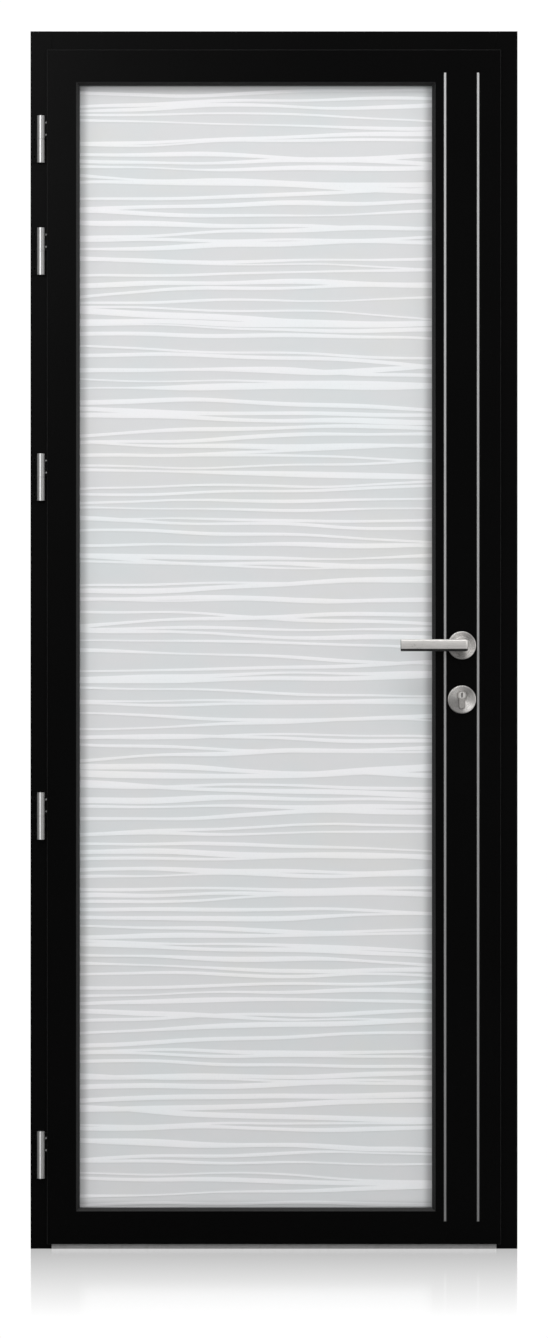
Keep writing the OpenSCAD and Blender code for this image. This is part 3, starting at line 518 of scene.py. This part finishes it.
leverHub = middle("rosettes")
keyHub = middle("escutcheons")
finishes = {
    "black_coat": powderMaterial("frameCoat", grey(0.0006), grey(0.0010), 0.33, 0.06),
    # the leaf coat's rounded edges get a painted highlight
    "leaf_coat": powderMaterial("leafCoat", grey(0.0006), grey(0.0010), 0.30, 0.06,
                                rimHighlightTone=grey(0.055)),
    "trim_coat": powderMaterial("trimCoat", grey(0.005), grey(0.007), 0.3, 0.36, depth=0.05),
    "barrier_plastic": powderMaterial("barrierPlastic", grey(0.02), grey(0.03), 0.55, 0.4, 900.0, 0.3),
    "plain_aluminium": sillMaterial(),
    "seal_rubber": rubberMaterial(),
    "seal_brush": powderMaterial("brushPile", grey(0.01), grey(0.02), 0.8, 0.2, 2400.0, 0.6),
    "foam": foamMaterial(),
    "steel": brushedMaterial("platedSteel", grey(0.48), grey(0.6), (1, 1, 0.05), 0.36, 0.85),
    "bolt_steel": brushedMaterial("boltSteel", grey(0.52), grey(0.66), (0.05, 1, 1), 0.28, 0.9),
    "hinge_sleeve": sleeveMaterial(),
    "inlay_metal": inlayMaterial(),
    "satin_nickel": brushedMaterial("satinNickel", grey(0.56, 0.03), grey(0.66, 0.03), (0.03, 1, 1),
                                    0.38, 0.45),
    "brass": brushedMaterial("cutBrass", (0.56, 0.40, 0.16, 1), (0.68, 0.50, 0.22, 1), (1, 0.1, 1),
                             0.35, 0.9),
    "patterned_glass": milkyMaterial("milkyPane", glassTone["ground"], 0.42, 0.25),
    "clear_glass": clearMaterial(),
}
ribbonMaterial = milkyMaterial("rippleRibbon", glassTone["ribbon"], 0.3, 0.35)
leverRoseMaterial = turnedMaterial("turnedLeverRose", grey(0.54, 0.03), grey(0.64, 0.03), 0.28, 0.6,
                                   leverHub)
keyRoseMaterial = turnedMaterial("turnedKeyRose", grey(0.54, 0.03), grey(0.64, 0.03), 0.28, 0.6,
                                 keyHub)
cylinderMaterial = brushedMaterial("cylinderNickel", grey(0.40, 0.04), grey(0.52, 0.04), (1, 0.05, 1), 0.3,
                                   0.7)

slotOf = {part["node"]: part["material_slot"] for part in frame["record"]["subparts"]}
for name, node in nodes.items():
    node.data.materials.clear()
    node.data.materials.append(finishes[slotOf[name]])
print("finishes made:", len(finishes))


# Bars, sheets and plates with softened edges

ownMaterial = {"cylinder_body": cylinderMaterial}      # nodes with a finish that differs from their slot's
rimLimit = 0.985      # a face whose normal is further off every axis than this lies on a rounded edge

softEdge = {
    # node: edge radius in mm
    "jamb_hinge": 0.8, "jamb_lock": 0.8, "head": 0.8, "threshold": 0.8,
    "inner_skin": 1.3, "outer_skin": 1.0,
    "inner_trim_top": 0.5, "inner_trim_right": 0.5, "inner_trim_bottom": 0.5,
    "inner_trim_left": 0.5, "outer_trims": 0.5, "drip_rail": 0.7,
    "leaf_stile_hinge": 0.5, "leaf_stile_lock": 0.5, "leaf_rail_top": 0.5, "leaf_rail_bottom": 0.5,
    "keep_centre": 0.4, "keep_upper": 0.4, "keep_lower": 0.4, "lock_faceplate": 0.4,
    "hinge_frame_wings": 0.5, "hinge_leaf_wings": 0.4, "hinge_sleeves_upper": 0.5,
    "hinge_sleeves_lower": 0.5, "inlay_left": 0.8, "inlay_right": 0.8, "latch_bolt": 0.5,
    "dead_bolt": 0.8, "upper_bolt": 0.8, "lower_bolt": 0.8, "cylinder_body": 0.4,
    "plug_inside": 0.35, "plug_outside": 0.35, "stop_gasket": 0.8, "lip_gasket": 0.4,
}


def addPiece(name, mesh, body, slotName, material, *replaced):
    piece = newObject(name, mesh)
    if material:
        mesh.materials.clear()
        mesh.materials.append(material)
    if replaced:
        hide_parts(*replaced)
    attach(piece, body)


def plainMesh(piece):
    # What the modifiers make, as a mesh of its own
    depsgraph = bpy.context.evaluated_depsgraph_get()
    return bpy.data.meshes.new_from_object(piece.evaluated_get(depsgraph), depsgraph=depsgraph)


def asMesh(name, shape):
    mesh = bpy.data.meshes.new(name)
    shape.to_mesh(mesh)
    shape.free()
    return mesh


def smoothByAngle(mesh, degrees=35):
    mesh.polygons.foreach_set("use_smooth", [True] * len(mesh.polygons))
    mesh.set_sharp_from_angle(angle=math.radians(degrees))


def bevelled(mesh, radius, segments=2, angle=38):
    # The mesh with every edge sharper than the angle rounded off
    smoothByAngle(mesh)
    worker = newObject("worker", mesh)
    bevel = worker.modifiers.new("edge", "BEVEL")
    bevel.width = radius
    bevel.segments = segments
    bevel.limit_method = "ANGLE"
    bevel.angle_limit = math.radians(angle)
    even = worker.modifiers.new("even", "WEIGHTED_NORMAL")      # keeps the broad faces flat
    even.weight = 100
    even.keep_sharp = True
    bpy.context.view_layer.update()
    result = plainMesh(worker)
    bpy.data.objects.remove(worker)
    return result


bodyOf = {node: body for body, members in frame["record"]["behaviour"]["bodies"].items()
          for node in members}


def softenNode(name, radius):
    shape = bmesh.new()
    shape.from_mesh(nodes[name].data)
    bmesh.ops.remove_doubles(shape, verts=shape.verts, dist=1e-6)
    bmesh.ops.dissolve_limit(shape, angle_limit=math.radians(0.5), verts=shape.verts, edges=shape.edges)
    soft = bevelled(asMesh(name + "Soft", shape), radius * mm)
    # the leaf coat paints a highlight on the faces marked here
    rim = soft.attributes.new("rim", "FLOAT", "FACE")      # 1 on the rounded edges, 0 on the flats
    for face in soft.polygons:
        rim.data[face.index].value = 1.0 if max(abs(part) for part in face.normal) < rimLimit else 0.0
    addPiece(name + "_soft", soft, bodyOf[name], slotOf[name],
             ownMaterial.get(name, finishes[slotOf[name]]), name)


for name, radius in softEdge.items():
    softenNode(name, radius)
print("edges softened:", len(softEdge))


# Ripple ribbons on the pane

ripple = {"count": 132, "steps": 48, "jitter": 1.1, "slope": 0.034, "bow": 0.05, "wander": 0.0045,
          "thin": 0.0029, "thick": 0.0132, "rise": 0.0006, "seed": 11.0, "edgeRoom": 0.004,
          "levels": 8.0, "levelStep": 0.00002}


def endTree(tree, end, geometry, material):
    real = nodeOut(tree, "GeometryNodeRealizeInstances", {"Geometry": geometry})
    feed(tree, end, {"Geometry": nodeOut(tree, "GeometryNodeSetMaterial",
                                         {"Geometry": real, "Material": material})})


def buildRippleTree():
    # Each ribbon is a thin bar right across the pane. It has a height, a slope and a bow of its own,
    # and its width swells and shrinks, so that neighbours meet, cross and part again in long points.
    tree, put, end = newGroup("rippleRibbons", "GeometryNodeTree", {
        "Width": 0.6, "Height": 2.0, "Count": 90, "Jitter": 1.0, "Slope": 0.03, "Bow": 0.05,
        "Wander": 0.004, "Thin": 0.003, "Thick": 0.01, "Rise": 0.001, "Seed": 1.0,
        "Material": "Material"}, {"Geometry": "Geometry"})
    spacing = maths(tree, "DIVIDE", put["Height"], put["Count"])
    rows = nodeOut(tree, "GeometryNodeMeshLine", {"Count": put["Count"],
                                                  "Offset": joined(tree, z=spacing)})
    bar = nodeOut(tree, "GeometryNodeMeshCube", {"Size": joined(tree, put["Width"], put["Rise"], 1.0),
                                                 "Vertices X": ripple["steps"]})
    index = nodeOut(tree, "GeometryNodeInputIndex")
    onRows = nodeOut(tree, "GeometryNodeInstanceOnPoints", {"Points": rows, "Instance": bar})
    rowNumber = nodeOut(tree, "GeometryNodeStoreNamedAttribute",
                        {"Geometry": onRows, "Name": "row", "Value": index},
                        data_type="FLOAT", domain="INSTANCE")
    bars = nodeOut(tree, "GeometryNodeRealizeInstances", {"Geometry": rowNumber})
    row = nodeOut(tree, "GeometryNodeInputNamedAttribute", {"Name": "row"}, data_type="FLOAT")
    spot = parted(tree, nodeOut(tree, "GeometryNodeInputPosition"))
    rowZ = maths(tree, "MULTIPLY", row, spacing)
    side = maths(tree, "SUBTRACT", spot[2], rowZ)      # -0.5 on the lower edge, 0.5 on the upper

    def times(a, b):
        return maths(tree, "MULTIPLY", a, b)

    def plus(a, b):
        return maths(tree, "ADD", a, b)

    def rowRandom(low, high, salt):
        # One value for each row, from white noise on the row's number
        key = plus(times(put["Seed"], 17.0), salt)
        white = addNode(tree, "ShaderNodeTexWhiteNoise", {"Vector": joined(tree, row, key)},
                        noise_dimensions="3D")
        return mapRange(tree, white.outputs["Value"], 0.0, 1.0, low, high)

    def slowNoise(along, salt):
        at = joined(tree, times(spot[0], along), times(row, 7.13), plus(put["Seed"], salt))
        wave = addNode(tree, "ShaderNodeTexNoise", {"Vector": at, "Scale": 1.0, "Detail": 0.0})
        return mapRange(tree, wave.outputs[0], 0.25, 0.75, -1.0, 1.0)

    # The bow is a square of the distance from the middle, less about its mean
    square = maths(tree, "SUBTRACT", times(spot[0], spot[0]),
                   times(times(put["Width"], put["Width"]), 0.08))
    line = plus(rowZ, times(times(rowRandom(-0.5, 0.5, 1.0), put["Jitter"]), spacing))
    line = plus(line, times(times(rowRandom(-1.0, 1.0, 2.0), put["Slope"]), spot[0]))
    line = plus(line, times(times(rowRandom(-1.0, 1.0, 3.0), put["Bow"]), square))
    line = plus(line, times(slowNoise(4.0, 0.0), put["Wander"]))
    swell = maths(tree, "MINIMUM", maths(tree, "MAXIMUM", plus(times(slowNoise(3.0, 40.0), 0.5), 0.5),
                                         0.0), 1.0)
    full = times(rowRandom(0.25, 1.0, 4.0), swell)
    span = plus(put["Thin"], times(full, maths(tree, "SUBTRACT", put["Thick"], put["Thin"])))
    height = plus(line, times(side, span))
    height = maths(tree, "MINIMUM", maths(tree, "MAXIMUM", height, 0.0), put["Height"])
    # Neighbours stand at different levels, so that no two that cross lie in one plane
    lift = times(maths(tree, "MODULO", times(row, 3.0), ripple["levels"]), ripple["levelStep"])
    place = joined(tree, spot[0], maths(tree, "SUBTRACT", spot[1], lift), height)
    moved = nodeOut(tree, "GeometryNodeSetPosition", {"Geometry": bars, "Position": place})
    endTree(tree, end, moved, put["Material"])
    return tree


def setInputs(modifier, tree, values):
    for item in tree.interface.items_tree:
        if item.item_type == "SOCKET" and item.in_out == "INPUT" and item.name in values:
            modifier[item.identifier] = values[item.name]


def grown(name, tree, values, points=None):
    # Runs a geometry tree on an empty mesh, or on points, and keeps the result as a plain mesh
    worker = newObject(name + "Worker", points or bpy.data.meshes.new(name))
    modifier = worker.modifiers.new("grow", "NODES")
    modifier.node_group = tree
    setInputs(modifier, tree, values)
    bpy.context.view_layer.update()
    mesh = plainMesh(worker)
    bpy.data.objects.remove(worker)
    return mesh


def addRipples():
    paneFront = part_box("inner_pane")[0].y
    gasketLow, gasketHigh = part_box("glazing_gaskets")
    edgeRoom = ripple["edgeRoom"]
    left, right = gasketLow.x + edgeRoom, gasketHigh.x - edgeRoom
    bottom, top = gasketLow.z + edgeRoom, gasketHigh.z - edgeRoom
    tree = buildRippleTree()
    mesh = grown("rippleRibbons", tree, {
        "Width": right - left, "Height": top - bottom, "Count": ripple["count"],
        "Jitter": ripple["jitter"], "Slope": ripple["slope"], "Bow": ripple["bow"],
        "Wander": ripple["wander"], "Thin": ripple["thin"], "Thick": ripple["thick"],
        "Rise": ripple["rise"], "Seed": ripple["seed"], "Material": ribbonMaterial})
    mesh.transform(Matrix.Translation(((left + right) / 2, paneFront, bottom)))
    smoothByAngle(mesh)
    addPiece("ripple_ribbons", mesh, "leaf", "patterned_glass", None)
    print("ripple ribbons:", len(mesh.polygons), "faces")


addRipples()


# Lever, roses and key cylinder

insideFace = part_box("inner_skin")[0].y      # the faces that the roses lie on
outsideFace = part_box("outer_skin")[1].y


def revolved(rows, centre, base, way, turns, bore=None):
    # Turns rows of (radius, height) round an axis along Y. Rows are closed into a ring, and a row whose
    # radius is a share from 0 to 1 in a tuple lies between the last plain radius and the bore.
    mesh = bmesh.new()
    rings = []
    for radius, height in rows:
        ring = []
        for step in range(turns):
            angle = 2 * math.pi * step / turns
            reach = radius
            if isinstance(radius, tuple):
                outer, share = radius
                reach = outer + (bore(angle) - outer) * share
            ring.append(mesh.verts.new((centre.x + reach * mm * math.cos(angle), base + way * height * mm,
                                        centre.z + reach * mm * math.sin(angle))))
        rings.append(ring)
    for ring, following in zip(rings, rings[1:] + rings[:1]):
        for step in range(turns):
            after = (step + 1) % turns
            mesh.faces.new((ring[step], ring[after], following[after], following[step]))
    bmesh.ops.recalc_face_normals(mesh, faces=mesh.faces)
    return mesh


def meshFrom(name, *shapes):
    whole = bmesh.new()
    for shape in shapes:
        part = asMesh("part", shape)
        whole.from_mesh(part)
        bpy.data.meshes.remove(part)
    mesh = asMesh(name, whole)
    smoothByAngle(mesh, 32)
    return mesh


rose = {
    # radius and height in mm, from the foot of the rim over the dish to the bore
    "rim": [(26.0, 0.0), (26.0, 6.2), (25.8, 7.1), (25.3, 7.7), (24.5, 8.0), (23.6, 7.95)],
    "lever": [(20.5, 7.45), (17.2, 6.95), (16.4, 7.0), (16.1, 7.4), (16.0, 8.7), (15.7, 9.2), (15.1, 9.45),
              (14.2, 9.4), (11.2, 8.8), (9.7, 8.5), (9.25, 8.2), (9.1, 7.6), (9.1, 0.0)],
    # the key rose's dish goes down from the end of the rim, and its edge by the cylinder is rounded off
    "dishFrom": 23.6, "dishLevel": 7.95, "keyDish": 1.2, "keySteps": 7, "boreEdge": 0.985, "boreDrop": 0.45,
    "turns": 96, "clearance": 0.35, "stem": 5.0, "scanStep": 0.05, "scanTo": 20.0,
}


def keyBore(angle):
    # How far out the hole for the cylinder reaches, seen from the middle of the rose
    cylLow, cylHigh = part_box("cylinder_body")
    bare = (cylHigh.x - cylLow.x) / 2 / mm
    radius = bare + rose["clearance"]
    stem = rose["stem"] + rose["clearance"]
    lift = cylHigh.z / mm - bare - keyHub.z / mm
    foot = cylLow.z / mm - rose["clearance"] - keyHub.z / mm
    reach = 0.0
    for step in range(round(rose["scanTo"] / rose["scanStep"])):
        way = step * rose["scanStep"]
        x, z = way * math.cos(angle), way * math.sin(angle)
        inRound = x * x + (z - lift) ** 2 <= radius * radius
        inStem = abs(x) <= stem and foot + stem <= z <= lift
        inFoot = x * x + (z - foot - stem) ** 2 <= stem * stem
        if inRound or inStem or inFoot:
            reach = way
    return reach


def addRoses():
    keyRows = list(rose["rim"])
    steps, start, dish = rose["keySteps"], rose["dishFrom"], rose["keyDish"]
    for step in range(1, steps + 1):
        share = step / (steps + 0.5)
        keyRows.append(((start, share), rose["dishLevel"] - dish * share))
    low = rose["dishLevel"] - dish
    keyRows += [((start, rose["boreEdge"]), low), ((start, 1.0), low - rose["boreDrop"]),
                ((start, 1.0), 0.0)]
    leverRows = rose["rim"] + rose["lever"]
    sides = [(insideFace, -1), (outsideFace, 1)]
    leverShapes = [revolved(leverRows, leverHub, base, way, rose["turns"]) for base, way in sides]
    keyShapes = [revolved(keyRows, keyHub, base, way, rose["turns"], keyBore) for base, way in sides]
    addPiece("lever_roses", meshFrom("leverRoses", *leverShapes), "leaf", "satin_nickel",
             leverRoseMaterial, "rosettes")
    addPiece("key_roses", meshFrom("keyRoses", *keyShapes), "leaf", "satin_nickel", keyRoseMaterial,
             "escutcheons")


lever = {
    "deep": 12.0, "neckTurns": 48,
    # the grip's section: how far out and how high, in mm, from its back lower edge
    "section": [(12.0, 4.6), (12.0, 19.4), (11.8, 20.0), (10.2, 21.7), (9.6, 22.0), (1.6, 22.0),
                (0.5, 21.5), (0.0, 20.4), (0.0, 1.6), (0.5, 0.5), (1.6, 0.0), (7.0, 0.0), (8.2, 0.4),
                (11.5, 3.6)],
    # how far along and how much it draws in, in mm
    "leftEnd": [(0.0, 0.8), (0.25, 0.35), (0.8, 0.0)],
    "rightEnd": [(4.6, 0.0), (2.6, 0.35), (1.1, 1.2), (0.3, 2.3), (0.0, 3.4)],
    # the underside and the free end get painted shade
    "shadeUpTo": 4.5, "shadeEnd": 0.6,
    # the neck: radius and height in mm from the leaf's face
    "neck": [(0.01, 0.0), (8.9, 0.0), (9.0, 0.4), (9.0, 44.5), (9.3, 46.2), (9.9, 47.4), (10.4, 48.3),
             (10.4, 52.0), (0.01, 52.0)],
}


def leverShape(node, base, way):
    low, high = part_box(node)
    depth, height = lever["deep"], (high.z - low.z) / mm
    foot = abs((low.y if way < 0 else high.y) - base) / mm - depth
    grip = bmesh.new()
    stations = [(low.x + along * mm, draw) for along, draw in lever["leftEnd"]]
    stations += [(high.x - along * mm, draw) for along, draw in lever["rightEnd"]]
    rings = []
    for x, draw in stations:
        ring = []
        for out, up in lever["section"]:
            outHere = depth / 2 + (out - depth / 2) * (1 - draw / (depth / 2))
            upHere = height / 2 + (up - height / 2) * (1 - draw / (height / 2))
            ring.append(grip.verts.new((x, base + way * (foot + outHere) * mm, low.z + upHere * mm)))
        rings.append(ring)
    for ring, following in zip(rings, rings[1:]):
        for step in range(len(ring)):
            after = (step + 1) % len(ring)
            grip.faces.new((ring[step], ring[after], following[after], following[step]))
    grip.faces.new(rings[0])
    grip.faces.new(rings[-1])
    shade = grip.faces.layers.float.new("shade")
    lowEdge = low.z + lever["shadeUpTo"] * mm
    for face in grip.faces:
        spot = face.calc_center_median()
        if spot.z < lowEdge or spot.x < low.x + lever["shadeEnd"] * mm:
            face[shade] = 1.0
    bmesh.ops.recalc_face_normals(grip, faces=grip.faces)
    neck = revolved(lever["neck"], leverHub, base, way, lever["neckTurns"])
    neck.faces.layers.float.new("shade")
    return grip, neck


def addLevers():
    nickel = leverMaterial()
    for name, node, base, way in (("lever_grip_inside", "lever_inside", insideFace, -1),
                                  ("lever_grip_outside", "lever_outside", outsideFace, 1)):
        addPiece(name, meshFrom(name, *leverShape(node, base, way)), "handle", "satin_nickel",
                 nickel, node)


addRoses()
addLevers()
print("lever and roses built")


# Screws with socket heads, and the brush under the leaf

screw = {"socketShare": 0.52, "socketDeep": 0.0011, "sides": 16, "seed": 5}


def buildScrewTree():
    # Socket screws on points: a head with a six-sided socket, a cone under it and a shank
    tree, put, end = newGroup("socketScrews", "GeometryNodeTree", {
        "Points": "Geometry", "Way": (0, 0, 1), "Head Radius": 0.003, "Shank Radius": 0.002,
        "Cone Height": 0.002, "Length": 0.02, "Socket Radius": 0.0015, "Socket Depth": 0.001,
        "Seed": 1, "Material": "Material"}, {"Geometry": "Geometry"})
    rim = nodeOut(tree, "GeometryNodeCurvePrimitiveCircle",
                  {"Resolution": screw["sides"], "Radius": put["Head Radius"]})
    socket = nodeOut(tree, "GeometryNodeCurvePrimitiveCircle",
                     {"Resolution": 6, "Radius": put["Socket Radius"]})
    outline = addNode(tree, "GeometryNodeJoinGeometry")
    tree.links.new(rim, outline.inputs[0])
    tree.links.new(socket, outline.inputs[0])
    face = nodeOut(tree, "GeometryNodeFillCurve", {"Curve": outline.outputs[0]})
    sunk = nodeOut(tree, "GeometryNodeExtrudeMesh", {
        "Mesh": face, "Offset": joined(tree, z=-1.0), "Offset Scale": put["Socket Depth"],
        "Individual": False})
    under = maths(tree, "SUBTRACT", put["Length"], put["Socket Depth"])
    coneLow = joined(tree, z=maths(tree, "MULTIPLY", maths(tree, "ADD", put["Socket Depth"],
                                                           put["Cone Height"]), -1.0))
    cone = nodeOut(tree, "GeometryNodeMeshCone", {
        "Vertices": screw["sides"], "Radius Top": put["Head Radius"], "Radius Bottom": put["Shank Radius"],
        "Depth": put["Cone Height"]})
    cone = nodeOut(tree, "GeometryNodeTransform", {"Geometry": cone, "Translation": coneLow})
    shankMiddle = joined(tree, z=maths(tree, "MULTIPLY", maths(
        tree, "ADD", maths(tree, "MULTIPLY", under, 0.5), put["Socket Depth"]), -1.0))
    shank = nodeOut(tree, "GeometryNodeMeshCylinder", {
        "Vertices": screw["sides"], "Radius": put["Shank Radius"], "Depth": under})
    shank = nodeOut(tree, "GeometryNodeTransform", {"Geometry": shank, "Translation": shankMiddle})
    whole = addNode(tree, "GeometryNodeJoinGeometry")
    for part in (nodeOut(tree, "GeometryNodeFlipFaces", {"Mesh": face}), sunk, cone, shank):
        tree.links.new(part, whole.inputs[0])
    aim = nodeOut(tree, "FunctionNodeAlignRotationToVector", {"Vector": put["Way"]}, axis="Z")
    turn = addNode(tree, "FunctionNodeRandomValue", {"Seed": put["Seed"]}, data_type="FLOAT")
    turn.inputs[2].default_value = 0.0
    turn.inputs[3].default_value = math.pi / 3
    turned = nodeOut(tree, "FunctionNodeRotateRotation", {
        "Rotation": aim, "Rotate By": joined(tree, z=turn.outputs[1])}, rotation_space="LOCAL")
    placed = nodeOut(tree, "GeometryNodeInstanceOnPoints", {
        "Points": put["Points"], "Instance": whole.outputs[0], "Rotation": turned})
    endTree(tree, end, placed, put["Material"])
    return tree


def screwsOf(node):
    # Each screw's head point, the way it faces, its head and shank radius and its length
    shape = bmesh.new()
    shape.from_mesh(nodes[node].data)
    bmesh.ops.remove_doubles(shape, verts=shape.verts, dist=1e-6)
    left = set(shape.verts)
    found = []
    while left:
        reached = [left.pop()]
        solid = []
        while reached:
            vert = reached.pop()
            solid.append(vert.co.copy())
            for edge in vert.link_edges:
                other = edge.other_vert(vert)
                if other in left:
                    left.remove(other)
                    reached.append(other)
        found.append(solid)
    shape.free()
    found.sort(key=lambda solid: tuple(round(min(p[axis] for p in solid), 5) for axis in (2, 0, 1)))
    screws = []
    for solid in found:
        low = Vector([min(p[axis] for p in solid) for axis in range(3)])
        high = Vector([max(p[axis] for p in solid) for axis in range(3)])
        size = high - low
        gaps = [abs(size[(axis + 1) % 3] - size[(axis + 2) % 3]) for axis in range(3)]
        axis = gaps.index(min(gaps))
        centre = (low + high) / 2
        length = size[axis]

        def reachAt(level):
            return max(max(abs(p[(axis + 1) % 3] - centre[(axis + 1) % 3]) for p in solid
                           if abs(p[axis] - level) < 1e-5), 0)
        reachLow, reachHigh = reachAt(low[axis]), reachAt(high[axis])
        side = 1 if reachHigh > reachLow + 1e-5 else -1
        if abs(reachHigh - reachLow) < 1e-5 and axis != 1:
            side = 1 if centre[axis] > 0 else -1
        way = Vector((0, 0, 0))
        way[axis] = side
        head = centre.copy()
        head[axis] = high[axis] if side > 0 else low[axis]
        screws.append((head, way, max(reachLow, reachHigh), min(reachLow, reachHigh), length))
    return screws


def addScrews(tree, node, body, material):
    groups = {}
    for head, way, headRadius, shankRadius, length in screwsOf(node):
        kind = (tuple(way), round(headRadius, 5), round(shankRadius, 5), round(length, 4))
        groups.setdefault(kind, []).append(head)
    whole = bmesh.new()
    for (way, headRadius, shankRadius, length), heads in sorted(groups.items()):
        points = bpy.data.meshes.new("screwPoints")
        points.from_pydata([tuple(head) for head in heads], [], [])
        cone = max(headRadius - shankRadius, 0.0002)
        mesh = grown("screws", tree, {
            "Way": way, "Head Radius": headRadius, "Shank Radius": shankRadius, "Cone Height": cone,
            "Length": length, "Socket Radius": headRadius * screw["socketShare"],
            "Socket Depth": min(screw["socketDeep"], length / 3), "Seed": screw["seed"],
            "Material": material}, points)
        whole.from_mesh(mesh)
    bmesh.ops.remove_doubles(whole, verts=whole.verts, dist=1e-6)
    bmesh.ops.recalc_face_normals(whole, faces=whole.faces)
    mesh = asMesh(node + "Socket", whole)
    smoothByAngle(mesh)
    addPiece(node + "_socket", mesh, body, slotOf[node], material, node)
    print(node + ":", len(mesh.polygons), "faces")


bristle = {"count": 620, "rows": 5, "radius": 0.00022, "lean": 0.16, "seed": 3, "holder": 0.0022,
           "sideRoom": 0.002, "depthShare": 0.55, "sunkShare": 0.6}


def buildBristleTree():
    # Rows of stiff hairs that hang from the holder, each with a lean of its own
    tree, put, end = newGroup("brushHairs", "GeometryNodeTree", {
        "Width": 0.7, "Depth": 0.005, "Count": 600, "Rows": 5, "Hair": 0.005, "Radius": 0.0002,
        "Lean": 0.2, "Seed": 1, "Material": "Material"}, {"Geometry": "Geometry"})
    grid = nodeOut(tree, "GeometryNodeMeshGrid", {
        "Size X": put["Width"], "Size Y": put["Depth"], "Vertices X": put["Count"],
        "Vertices Y": put["Rows"]})
    hair = nodeOut(tree, "GeometryNodeMeshCone", {
        "Vertices": 3, "Radius Top": 0.0, "Radius Bottom": put["Radius"], "Depth": put["Hair"]})
    over = addNode(tree, "FunctionNodeRandomValue", {"Seed": put["Seed"]}, data_type="FLOAT_VECTOR")
    leanBack = maths(tree, "MULTIPLY", put["Lean"], -1.0)
    tree.links.new(joined(tree, leanBack, leanBack), over.inputs[0])
    tree.links.new(joined(tree, put["Lean"], put["Lean"], 3.0), over.inputs[1])
    flip = nodeOut(tree, "ShaderNodeVectorMath", {0: over.outputs[0], 1: (math.pi, 0, 0)},
                   operation="ADD")
    placed = nodeOut(tree, "GeometryNodeInstanceOnPoints", {
        "Points": grid, "Instance": hair, "Rotation": flip})
    endTree(tree, end, placed, put["Material"])
    return tree


def addBrush():
    low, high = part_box("bottom_brush")
    tall = high.z - low.z
    sunk = bristle["holder"] * bristle["sunkShare"]      # the hairs start inside the holder
    hairs = grown("hairs", buildBristleTree(), {
        "Width": high.x - low.x - 2 * bristle["sideRoom"],
        "Depth": (high.y - low.y) * bristle["depthShare"], "Count": bristle["count"],
        "Rows": bristle["rows"], "Hair": tall - sunk, "Radius": bristle["radius"],
        "Lean": bristle["lean"], "Seed": bristle["seed"], "Material": finishes["seal_brush"]})
    middleY, middleX = (low.y + high.y) / 2, (low.x + high.x) / 2
    hairs.transform(Matrix.Translation((middleX, middleY, high.z - sunk)))
    brush = bmesh.new()
    brush.from_mesh(hairs)
    size = (high.x - low.x, high.y - low.y, bristle["holder"])
    place = Matrix.Translation((middleX, middleY, high.z - bristle["holder"] / 2))
    bmesh.ops.create_cube(brush, size=1.0, matrix=place @ Matrix.Diagonal(size + (1,)))
    mesh = asMesh("brush", brush)
    addPiece("brush_hairs", mesh, "leaf", "seal_brush", finishes["seal_brush"], "bottom_brush")
    print("brush hairs:", len(mesh.polygons), "faces")


screwTree = buildScrewTree()
addScrews(screwTree, "frame_screws", "frame",
          screwMaterial("frameScrewSteel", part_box("hinge_frame_wings")[1].x, grey(0.0012)))
addScrews(screwTree, "leaf_screws", "leaf",
          screwMaterial("leafScrewSteel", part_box("hinge_leaf_wings")[1].x, grey(0.30)))
addBrush()


print("pieces built")
